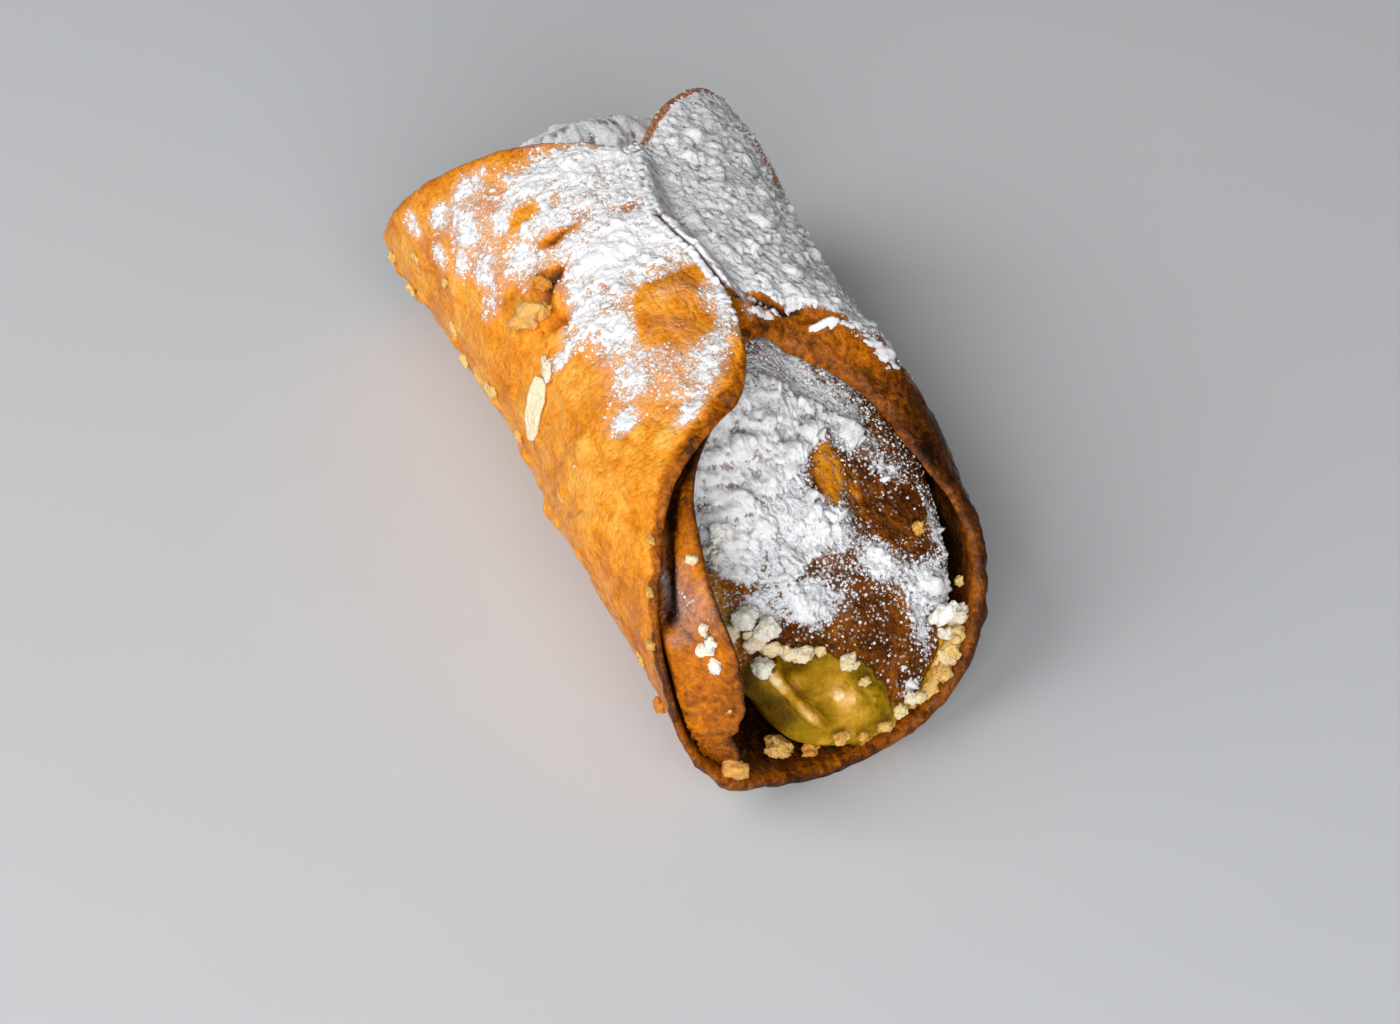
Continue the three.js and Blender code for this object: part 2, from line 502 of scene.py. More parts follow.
def crust(top: Array, bottom: Array, keep: Array) -> tuple[Array, list[Array], Array]:
    """Closes the kept cells of a grid into a slab with walls round its edges.

    Args:
        top: grid of points of the upper side, rows by columns by 3.
        bottom: the same grid on the lower side.
        keep: which cells are kept, one fewer each way than the points.

    Returns:
        The points, the faces, and which of the two grids' points they are.
    """
    cells = np.pad(keep, 1)
    while True:
        a, b, c, d = cells[:-1, :-1], cells[:-1, 1:], cells[1:, :-1], cells[1:, 1:]
        touching = (a & d & ~b & ~c) | (b & c & ~a & ~d)
        if not touching.any():
            break
        rows, columns = np.nonzero(touching)
        cells[rows, columns] = True
        cells[rows, columns + 1] = True
        cells[[0, -1], :] = False
        cells[:, [0, -1]] = False
    kept = cells[1:-1, 1:-1]
    rows, columns = top.shape[:2]
    number = np.arange(rows * columns).reshape(rows, columns)
    below = number + rows * columns
    i, j = np.nonzero(kept)
    upper = np.stack([number[i, j], number[i, j + 1], number[i + 1, j + 1], number[i + 1, j]], -1)
    lower = upper[:, ::-1] + rows * columns
    walls = []
    sides = (
        ((0, 0), (0, 1), (-1, 0)),
        ((0, 1), (1, 1), (0, 1)),
        ((1, 1), (1, 0), (1, 0)),
        ((1, 0), (0, 0), (0, -1)),
    )
    for first, second, step in sides:
        open_side = kept[i, j] & ~cells[i + 1 + step[0], j + 1 + step[1]]
        r, c = i[open_side], j[open_side]
        p, q = (r + first[0], c + first[1]), (r + second[0], c + second[1])
        walls.append(np.stack([number[q], number[p], below[p], below[q]], -1))
    faces = np.concatenate([upper, lower, *walls])
    points = np.concatenate([top.reshape(-1, 3), bottom.reshape(-1, 3)])
    used, faces = np.unique(faces, return_inverse=True)
    return points[used], [faces.reshape(-1, 4)], used


# ---- The roll's form, as its solids have it ----


@dataclass(frozen=True)
class RollForm:
    """The section of the roll, with its flares and swellings."""

    half_width: float = 26.0
    half_height: float = 23.7
    foot_depth: float = 0.6
    side_shift: float = 0.28

    def width_at(self, angle: Array, along: Array) -> Array:
        """Half the roll's width.

        Args:
            angle, along: the place on the roll.

        Returns:
            The half width there.
        """
        side = np.sin(angle)
        left = np.maximum(0.0, -side) ** 0.7
        right = np.maximum(0.0, side) ** 0.7
        left_flare = (
            0.9 * rising(-45, -20, along)
            + rising(0, 40, along)
            + 1.2 * rising(28, 56, along)
        )
        right_flare = (
            1.2 * rising(-5, 45, along)
            + 1.3 * swell(42, 10, along)
            + swell(3, 10, along)
            + 0.8 * swell(-26, 10, along)
        )
        waist = 0.9 * swell(-4, 20, along)
        near_lip = 0.8 * rising(-30, -55, along)
        return self.half_width - waist + near_lip + left_flare * left + right_flare * right

    def unevenness(self, angle: Array, along: Array) -> Array:
        """Slow waves of the surface, fading out towards the underside.

        Args:
            angle, along: the place on the roll.

        Returns:
            How far the surface stands out.
        """
        waves = (
            0.3 * np.sin(2 * angle + 0.11 * along + 0.6)
            + 0.22 * np.sin(3 * angle - 0.15 * along + 2.1)
            + 0.16 * np.sin(5 * angle + 0.23 * along)
        )
        return waves * rising(-1, -0.4, np.cos(angle))

    def point(self, angle: Array, along: Array, depth: Number) -> Array:
        """Points at a depth below the roll's outside.

        Args:
            angle, along: the place on the roll.
            depth: distance below the outside.

        Returns:
            The points, the last axis holding x, y and z.
        """
        angle, along, depth = np.broadcast_arrays(angle, along, depth)
        proud = self.unevenness(angle, along) - depth
        x = (self.width_at(angle, along) + proud) * np.sin(angle) + self.side_shift
        z = self.half_height - self.foot_depth + (self.half_height + proud) * np.cos(angle)
        return np.stack([x, along, z], axis=-1)


@dataclass(frozen=True)
class SheetForm:
    """The sheet of dough: its cut edges, its lap, its rolled rim and its bent tongue."""

    roll: RollForm = RollForm()
    dough: float = 2.6
    lap_gap: float = 0.5
    lap: Pair = (300.0, 352.0)
    end_turn: float = 500.0
    rim_bulge: float = 0.35
    rim_curl: float = 3.2
    rim_curl_reach: float = 8.0
    tongue_curl_reach: float = 16.0
    ease: float = 1.25
    seam_fade: float = 6.0

    NEAR = Curve([
        (0, -16), (4, -20.7), (12, -26.6), (28, -30.6), (47, -35.5), (71, -45.6),
        (92, -52.5), (112, -57), (130, -58.8), (152, -56.6), (180, -55),
        (230, -50.3), (270, -38), (310, -21), (335, -11.5), (360, -14),
        (380, -24), (405, -35.8), (421, -51.5), (432, -55.6), (485, -58), (500, -54),
    ])
    FAR = Curve([
        (0, 27.1), (17, 32.9), (47, 41.8), (85, 51.2), (110, 56.4), (145, 58.6),
        (180, 58.8), (270, 53.5), (308, 48.5), (330, 42), (350, 31.8),
        (362, 27.5), (410, 34), (500, 42),
    ])
    SEAM = Curve([(-16, 0), (-9, -3), (0, -1), (10, 3.5), (19, 1), (27, -3)])
    TONGUE = Curve([
        (380, 0), (405, 0.8), (414, 1.3), (421, 2.4), (431, 4.2),
        (450, 5.2), (462, 5.0), (478, 2.4), (492, 0.2), (500, 0),
    ])

    def depth(self, turn: Array, from_near: Array) -> Array:
        """How far the sheet lies inside the roll's outside.

        Args:
            turn: degrees round the roll.
            from_near: distance from the sheet's near edge.

        Returns:
            The depth of the sheet's outer side.
        """
        lap = (self.dough + self.lap_gap) * rising(*self.lap, turn)
        flap = within(262, 300, 328, 352, turn)
        rim = np.maximum(0.0, 1.0 - from_near / self.rim_curl_reach) ** 2
        bent = np.maximum(0.0, 1.0 - from_near / self.tongue_curl_reach) ** 2
        return lap + self.rim_curl * flap * rim + self.TONGUE(turn) * bent

    def place(self, turn: Array, along: Array, below: Number) -> Array:
        """Points at a depth below the sheet's outer side.

        Args:
            turn, along: the place on the sheet.
            below: distance below the outer side; negative stands out from it.

        Returns:
            The points, none of them under the surface that the roll lies on.
        """
        share = (np.clip(turn, 0.0, None) / self.end_turn) ** (1.0 / self.ease)
        true_turn = turn + self.SEAM(along) * (1.0 - share) ** self.seam_fade
        down = below + self.depth(true_turn, along - self.NEAR(turn))
        points = self.roll.point(-np.radians(true_turn), along, down)
        points[..., 2] = np.maximum(0.0, points[..., 2])
        return points


@dataclass(frozen=True)
class Mouth:
    """A slanting face of the filling: where its two ends lie along the roll."""

    top: float
    low: float
    dome: float


@dataclass(frozen=True)
class FillingForm:
    """The filling: a core that follows the sheet, between two slanting faces."""

    sheet: SheetForm = SheetForm()
    clearance: float = 0.8
    tongue_step: float = 22.0
    mouth_top: float = 41.0
    mouth_low: float = 5.0
    near: Mouth = Mouth(top=-16.0, low=-57.0, dome=4.6)
    far: Mouth = Mouth(top=45.0, low=54.0, dome=4.0)
    rounding: float = 3.4
    shrink: float = 0.9
    middle: Pair = (1.2, 23.0)

    def plane(self, mouth: Mouth, height: Array) -> Array:
        """A slanting face's place along the roll at a height."""
        share = (self.mouth_top - height) / (self.mouth_top - self.mouth_low)
        return mouth.top + (mouth.low - mouth.top) * share

    def lining(self, degrees: Array, along: Array) -> Array:
        """Depth of the filling's side, just inside the innermost lap.

        Args:
            degrees, along: the place on the roll.

        Returns:
            The depth below the roll's outside.
        """
        sheet = self.sheet
        turn = 360.0 - degrees
        lap_turn = np.minimum(turn, sheet.end_turn)
        from_near = np.maximum(0.0, along - sheet.NEAR(lap_turn))
        past = rising(sheet.end_turn + 3.0, sheet.end_turn + self.tongue_step, turn)
        return sheet.dough + self.clearance + (1.0 - past) * sheet.depth(lap_turn, from_near)

    def wall(self, angle: Array, along: Array, draw_in: float) -> Array:
        """Points of the filling's side.

        Args:
            angle, along: the place on the roll.
            draw_in: how far further in than the side.

        Returns:
            The points.
        """
        degrees = np.degrees(angle)
        outside = self.sheet.roll.point(angle, along, 0.0)
        from_face = along - self.plane(self.near, outside[..., 2])
        hollow = 4.2 * swell(-147, 24, degrees) * falling(0, 15, from_face)
        hollow += 2.9 * swell(68, 27, degrees) * falling(0, 14, from_face)
        mound = 3.4 * swell(-4, 24, degrees) * swell(46, 6.5, along)
        depth = self.lining(degrees, along) + draw_in + hollow - mound
        return self.sheet.roll.point(angle, along, depth)

    def face(self, mouth: Mouth, angle: Array, share: Array) -> Array:
        """Points of a slanting face.

        Args:
            mouth: which face.
            angle, share: the place on the face, its share 1 at the rim.

        Returns:
            The points.
        """
        outward = math.copysign(1.0, mouth.low)
        lowest = self.plane(mouth, np.full(np.shape(angle), self.mouth_low))
        rim_height = self.wall(angle, lowest, self.shrink)[..., 2]
        rim_along = self.plane(mouth, rim_height) - outward * self.rounding
        rim = self.wall(angle, rim_along, self.shrink)
        x = self.middle[0] + (rim[..., 0] - self.middle[0]) * share
        z = self.middle[1] + (rim[..., 2] - self.middle[1]) * share
        fall = self.rounding * (1.0 - np.sqrt(np.clip(1.0 - share**4, 0.0, None)))
        dome = mouth.dome * (1.0 - share**2)
        return np.stack([x, self.plane(mouth, z) + outward * (dome - fall), z], axis=-1)

    def side(self, angle: Array, share: Array) -> Array:
        """Points of the side between the two faces.

        Args:
            angle: angle from the top, in radians.
            share: 0 at the near face, 1 at the far face.

        Returns:
            The points.
        """
        height = self.wall(angle, np.zeros(np.shape(angle)), 0.0)[..., 2]
        near = self.plane(self.near, height) + self.rounding
        far = self.plane(self.far, height) - self.rounding
        along = near + (far - near) * (0.04 + 0.92 * share)
        return self.wall(angle, along, 0.0)


# ---- Shader graphs ----

Colour = Triple
Stops = Sequence[tuple[float, Colour]]


def tint(red: float, green: float, blue: float) -> Colour:
    """A colour as a screen shows it, 0 to 255, in the linear numbers of a shader.

    Args:
        red, green, blue: how much of each it has.

    Returns:
        The linear colour.
    """

    def linear(level: float) -> float:
        """One channel, in linear light."""
        share = level / 255.0
        return share / 12.92 if share <= 0.04045 else ((share + 0.055) / 1.055) ** 2.4

    return linear(red), linear(green), linear(blue)


class Signal:
    """A number that varies over a surface, with ordinary arithmetic."""

    SMOOTH = {"interpolation_type": "SMOOTHSTEP"}

    def __init__(self, graph: Graph, socket: bpy.types.NodeSocket) -> None:
        """Wraps a node's output."""
        self.graph = graph
        self.socket = socket

    def math(self, operation: str, *others: Operand, clamp: bool = False) -> Signal:
        """Applies a Math node to this and the others; clamp keeps it between 0 and 1."""
        settings = {"operation": operation, "use_clamp": clamp}
        return self.graph.signal("ShaderNodeMath", settings, dict(enumerate((self, *others))))

    def __add__(self, other: Operand) -> Signal:
        """The sum."""
        return self.math("ADD", other)

    def __sub__(self, other: Operand) -> Signal:
        """The difference."""
        return self.math("SUBTRACT", other)

    def __rsub__(self, other: Operand) -> Signal:
        """The difference from a number."""
        return (self * -1.0) + other

    def __mul__(self, other: Operand) -> Signal:
        """The product."""
        return self.math("MULTIPLY", other)

    __radd__ = __add__
    __rmul__ = __mul__

    def at_least(self, other: Operand) -> Signal:
        """The larger of the two."""
        return self.math("MAXIMUM", other)

    def clamped(self) -> Signal:
        """The value kept between 0 and 1."""
        return self.math("ADD", 0.0, clamp=True)

    def between(self, low: float, high: float) -> Signal:
        """Rises smoothly from 0 at low to 1 at high."""
        inputs = {"Value": self, "From Min": low, "From Max": high}
        return self.graph.signal("ShaderNodeMapRange", self.SMOOTH, inputs)

    def swing(self, amount: float) -> Signal:
        """A noise's swing about its middle, times an amount."""
        return (self - 0.5) * amount


Operand = Union[float, Signal]
Paint = Union[Colour, bpy.types.NodeSocket]


class Tree:
    """Nodes and their links, in a material or a group."""

    def __init__(self, tree: bpy.types.NodeTree) -> None:
        """Takes the tree that the nodes are added to."""
        self.tree = tree

    def node(
        self, kind: str, settings: Optional[dict] = None, inputs: Optional[dict] = None
    ) -> bpy.types.Node:
        """Adds a node.

        Args:
            kind: the node's type.
            settings: its own settings, set before its sockets.
            inputs: values, colours or links by the socket's name or number.

        Returns:
            The node.
        """
        node = self.tree.nodes.new(kind)
        for name, value in (settings or {}).items():
            if name == "stops":
                self._set_stops(node, value)
            else:
                setattr(node, name, value)
        for key, value in (inputs or {}).items():
            socket = node.inputs[key]
            value = value.socket if isinstance(value, Signal) else value
            if isinstance(value, bpy.types.NodeSocket):
                self.tree.links.new(value, socket)
            elif isinstance(value, tuple) and socket.type == "RGBA":
                socket.default_value = (*value, 1.0)
            else:
                socket.default_value = value
        return node

    @staticmethod
    def _set_stops(node: bpy.types.Node, stops: Stops) -> None:
        """Gives a colour ramp its stops.

        Args:
            node: the ramp.
            stops: pairs of a place and a colour.
        """
        elements = node.color_ramp.elements
        while len(elements) < len(stops):
            elements.new(0.5)
        for element, (place, colour) in zip(elements, stops):
            element.position = place
            element.color = (*colour, 1.0)


class Graph(Tree):
    """The nodes of one material."""

    def __init__(self, name: str) -> None:
        """Starts an empty material.

        Args:
            name: the material's name.
        """
        self.material = bpy.data.materials.new(name)
        self.material.use_nodes = True
        super().__init__(self.material.node_tree)
        self.tree.nodes.clear()
        self.place = self.node("ShaderNodeTexCoord").outputs["Object"]

    def signal(self, kind: str, settings: dict, inputs: dict) -> Signal:
        """Adds a node and returns its first output as a signal."""
        return Signal(self, self.node(kind, settings, inputs).outputs[0])

    def layer(self, layer: Layer) -> Signal:
        """A layer painted on the mesh."""
        node = self.node("ShaderNodeAttribute", {"attribute_name": layer.value})
        return Signal(self, node.outputs["Fac"])

    def noise(
        self,
        size: float,
        roughness: float = 0.6,
        distortion: float = 0.0,
        detail: float = 3.0,
        stretch: Triple = (1.0, 1.0, 1.0),
    ) -> Signal:
        """Soft noise, 0 to 1 with 0.5 in the middle.

        Args:
            size: the size of its largest spots, in millimetres.
            roughness: how strong the finer sizes are.
            distortion: how far it is stirred.
            detail: how many finer sizes it has.
            stretch: multiplies the coordinates, so that under 1 lengthens the spots.

        Returns:
            The noise.
        """
        multiply = {"operation": "MULTIPLY"}
        place = self.node("ShaderNodeVectorMath", multiply, {0: self.place, 1: stretch})
        inputs = {
            "Vector": place.outputs[0],
            "Scale": 1.0 / (size * MM),
            "Detail": detail,
            "Roughness": roughness,
            "Distortion": distortion,
        }
        return self.signal("ShaderNodeTexNoise", {}, inputs)

    def spots(self, size: float) -> Signal:
        """Distance to the nearest of points scattered size apart, in spacings."""
        inputs = {"Vector": self.place, "Scale": 1.0 / (size * MM), "Randomness": 1.0}
        return self.signal("ShaderNodeTexVoronoi", {"feature": "F1"}, inputs)

    def ramp(self, value: Signal, stops: Stops) -> bpy.types.NodeSocket:
        """Colours a value from 0 to 1 by a ramp."""
        return self.node("ShaderNodeValToRGB", {"stops": stops}, {"Fac": value}).outputs[0]

    def mix(self, first: Paint, second: Paint, share: Signal) -> bpy.types.NodeSocket:
        """Mixes two colours, by how much of the second there is."""
        settings = {"data_type": "RGBA", "clamp_factor": True}
        return self.node("ShaderNodeMix", settings, {0: share, 6: first, 7: second}).outputs[2]

    def bump(self, *heights: tuple[Signal, float]) -> bpy.types.NodeSocket:
        """A normal from one or more heights.

        Args:
            *heights: pairs of a signal and the depth of its relief in millimetres.

        Returns:
            The normal.
        """
        below: dict[str, bpy.types.NodeSocket] = {}
        for height, depth in heights:
            inputs = {"Height": height, "Distance": depth * MM, "Strength": 1.0, **below}
            below = {"Normal": self.node("ShaderNodeBump", {}, inputs).outputs[0]}
        return below["Normal"]

    def finish(self, **sockets: object) -> bpy.types.Material:
        """Ends the graph in a Principled shader.

        Args:
            **sockets: the shader's inputs, their names with underscores.

        Returns:
            The material.
        """
        inputs = {name.replace("_", " "): value for name, value in sockets.items()}
        shader = self.node("ShaderNodeBsdfPrincipled", {}, inputs)
        self.node("ShaderNodeOutputMaterial", {}, {"Surface": shader.outputs[0]})
        return self.material


# ---- Finishes ----


@dataclass(frozen=True)
class FriedDough:
    """Fried dough: golden where light, deep brown where it took most heat and where shade is
    painted, oily.
    """

    stops: Stops = (
        (0.0, tint(252, 212, 128)),
        (0.2, tint(246, 180, 78)),
        (0.38, tint(232, 146, 30)),
        (0.52, tint(204, 116, 14)),
        (0.66, tint(156, 84, 9)),
        # The darkest stops colour mostly painted shade: the inner side and the right flank near
        # the mouth.
        (0.8, tint(92, 46, 5)),
        (1.0, tint(32, 14, 2)),
    )
    powder: Colour = tint(240, 240, 242)

    def material(self) -> bpy.types.Material:
        """Builds the material.

        Returns:
            The material.
        """
        g = Graph("fried_dough")
        fine = g.noise(0.8)
        streaks = g.noise(2.2, distortion=0.8, stretch=(1.0, 0.45, 1.0))
        cloud = g.noise(6.5, 0.55)
        # Browning with painted shade in it, from the sheet's painted layer.
        baked_and_shaded = g.layer(Layer.BAKE) + fine.swing(0.42) + streaks.swing(0.44)
        baked_and_shaded += cloud.swing(0.34)
        colour = g.ramp(baked_and_shaded.clamped(), self.stops)
        dust = g.layer(Layer.DUST)
        grain = g.noise(0.45, 0.7)
        speck = g.noise(1.3)
        sift = g.noise(3.4, 0.55)
        amount = dust * 1.1 + grain.swing(1.3) + speck.swing(1.5) + sift.swing(0.9)
        dusted = (dust * 8.0).clamped()
        film = amount.between(0.44, 0.9) * dusted
        veil = (dust * 0.46 + sift.swing(0.3) - 0.04).clamped()
        white = film.at_least(veil * dusted)
        colour = g.mix(colour, self.powder, white)
        pores = g.spots(1.1).between(0.0, 0.45)
        normal = g.bump((streaks, 0.6), (pores, 0.1), (fine, 0.34), (film, 0.15))
        gloss = 0.3 + streaks.swing(0.5) + white * 0.5
        return g.finish(
            Base_Color=colour,
            Roughness=gloss.clamped(),
            Specular_IOR_Level=0.13,
            Normal=normal,
            Coat_Weight=(1.0 - white) * 0.05,
            Coat_Roughness=0.2,
            Subsurface_Weight=0.1,
            Subsurface_Scale=1.5 * MM,
            Subsurface_Radius=(1.0, 0.45, 0.15),
        )


@dataclass(frozen=True)
class BrownedCream:
    """Custard, smooth and yellow where it is broken open, browned and dry on its skin."""

    custard: Stops = (
        (0.0, tint(56, 36, 0)),
        (0.3, tint(106, 78, 2)),
        (0.55, tint(156, 121, 12)),
        (0.75, tint(198, 148, 42)),
        (0.9, tint(230, 182, 108)),
        (1.0, tint(244, 216, 172)),
    )
    skin: Stops = (
        (0.0, tint(44, 18, 2)),
        (0.4, tint(104, 54, 10)),
        (0.75, tint(162, 92, 22)),
        (1.0, tint(214, 154, 60)),
    )
    peel: Stops = (
        (0.0, tint(120, 56, 6)),
        (0.6, tint(214, 134, 22)),
        (1.0, tint(240, 184, 80)),
    )
    powder: Colour = tint(238, 239, 243)
    melted: Colour = tint(160, 128, 112)

    def material(self) -> bpy.types.Material:
        """Builds the material.

        Returns:
            The material.
        """
        g = Graph("browned_cream")
        fine = g.noise(0.8)
        cloud = g.noise(4.0, 0.55, 0.4)
        skin = g.layer(Layer.SKIN)
        tone = g.layer(Layer.TONE)
        cream = g.ramp((tone + cloud.swing(0.4) + fine.swing(0.3)).clamped(), self.custard)
        brown = g.ramp((tone + fine.swing(0.7) + cloud.swing(0.8)).clamped(), self.skin)
        amber = g.ramp((tone + cloud.swing(0.8)).clamped(), self.peel)
        edge = (skin + fine.swing(1.2)).between(0.3, 0.7)
        colour = g.mix(cream, brown, edge)
        peel = g.layer(Layer.PEEL)
        colour = g.mix(colour, amber, (peel + fine.swing(0.8)).between(0.3, 0.75))
        dust = g.layer(Layer.DUST)
        dusted = (dust * 8.0).clamped()
        grain = g.noise(0.45, 0.7)
        speck = g.noise(1.2)
        sift = g.noise(2.8)
        haze = (dust * 0.7 + sift.swing(1.0) - 0.2).clamped() * dusted
        colour = g.mix(colour, self.melted, haze)
        crystals = 1.0 - g.spots(0.7).between(0.16, 0.4)
        strewn = (dust * 1.3 + sift.swing(1.8) + skin * 0.3).between(0.25, 0.75)
        amount = dust * 1.05 + grain.swing(1.3) + speck.swing(1.6)
        film = amount.between(0.5, 0.82).at_least(crystals * strewn) * dusted
        colour = g.mix(colour, self.powder, film)
        dry = (edge * (1.0 - peel)).at_least(film)
        granules = (1.0 - g.spots(0.9)) * dry
        normal = g.bump(
            (cloud * dry, 0.8), (granules, 0.35), (fine * dry, 0.5), (film, 0.25),
            (fine, 0.4), (cloud, 0.5),
        )
        return g.finish(
            Base_Color=colour,
            Roughness=(0.5 + dry * 0.12).clamped(),
            Specular_IOR_Level=0.06,
            Normal=normal,
            Subsurface_Weight=0.3,
            Subsurface_Scale=1.8 * MM,
            Subsurface_Radius=(1.0, 0.7, 0.25),
        )


@dataclass(frozen=True)
class PowderSugar:
    """Powdered sugar, bright, matt and grainy."""

    name: str = "powder_sugar"
    white: Colour = tint(243, 244, 247)
    damp: Colour = tint(206, 204, 206)
    # Where sugar lies thin and the colour beneath shows, and the painted shade of its hollows.
    thin: Colour = tint(150, 132, 126)

    def material(self) -> bpy.types.Material:
        """Builds the material.

        Returns:
            The material.
        """
        g = Graph(self.name)
        grain = g.noise(0.45, 0.7, detail=4.0)
        clump = g.noise(1.9, 0.55)
        colour = g.mix(self.damp, self.white, (grain * 0.5 + clump * 0.7).between(0.38, 0.62))
        # Low tone, from thin sugar and from painted shade in the hollows, takes the thin colour.
        body = g.layer(Layer.TONE) + grain.swing(0.7)
        colour = g.mix(self.thin, colour, body.between(0.08, 0.62))
        return g.finish(
            Base_Color=colour,
            Roughness=0.85,
            Specular_IOR_Level=0.3,
            Normal=g.bump((clump, 0.3), (grain, 0.26)),
            Subsurface_Weight=0.12,
            Subsurface_Scale=0.8 * MM,
            Subsurface_Radius=(1.0, 1.0, 1.0),
        )


@dataclass(frozen=True)
class Crumb:
    """Broken bits of dough, custard and nut, from pale cream to brown by their tone."""

    stops: Stops = (
        (0.0, tint(255, 251, 240)),
        (0.3, tint(246, 206, 130)),
        (0.6, tint(226, 154, 58)),
        (0.8, tint(200, 112, 24)),
        (1.0, tint(112, 52, 8)),
    )

    def material(self) -> bpy.types.Material:
        """Builds the material.

        Returns:
            The material.
        """
        g = Graph("crumb_crust")
        fine = g.noise(0.6)
        colour = g.ramp((g.layer(Layer.TONE) + fine.swing(0.3)).clamped(), self.stops)
        return g.finish(
            Base_Color=colour,
            Roughness=(0.45 + fine * 0.25).clamped(),
            Normal=g.bump((fine, 0.6)),
            Specular_IOR_Level=0.3,
            Subsurface_Weight=0.25,
            Subsurface_Scale=1.5 * MM,
            Subsurface_Radius=(1.0, 0.6, 0.25),
        )


@dataclass(frozen=True)
class Tabletop:
    """The plain pale surface that the roll lies on."""

    pale: Colour = tint(207, 210, 214)

    def material(self) -> bpy.types.Material:
        """Builds the material.

        Returns:
            The material.
        """
        g = Graph("pale_tabletop")
        speck = g.noise(40.0, 0.5, detail=2.0)
        colour = g.mix(self.pale, tint(204, 207, 211), speck)
        return g.finish(Base_Color=colour, Roughness=0.55)


# ---- Pieces ----


def dress(
    piece: bpy.types.Object, slot: Slot, material: bpy.types.Material, nodes: Sequence[str] = ()
) -> bpy.types.Object:
    """Gives a piece its finish and its place in the frame.

    Args:
        piece: the piece.
        slot: not used.
        material: the finish.
        nodes: solids that it stands for.

    Returns:
        The piece.
    """
    piece.data.materials.clear()
    piece.data.materials.append(material)
    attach(piece, "root")
    if nodes:
        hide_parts(*nodes)
    triangles = sum(len(face.vertices) - 2 for face in piece.data.polygons)
    LOG.info("%s: %d triangles", piece.name, triangles)
    return piece


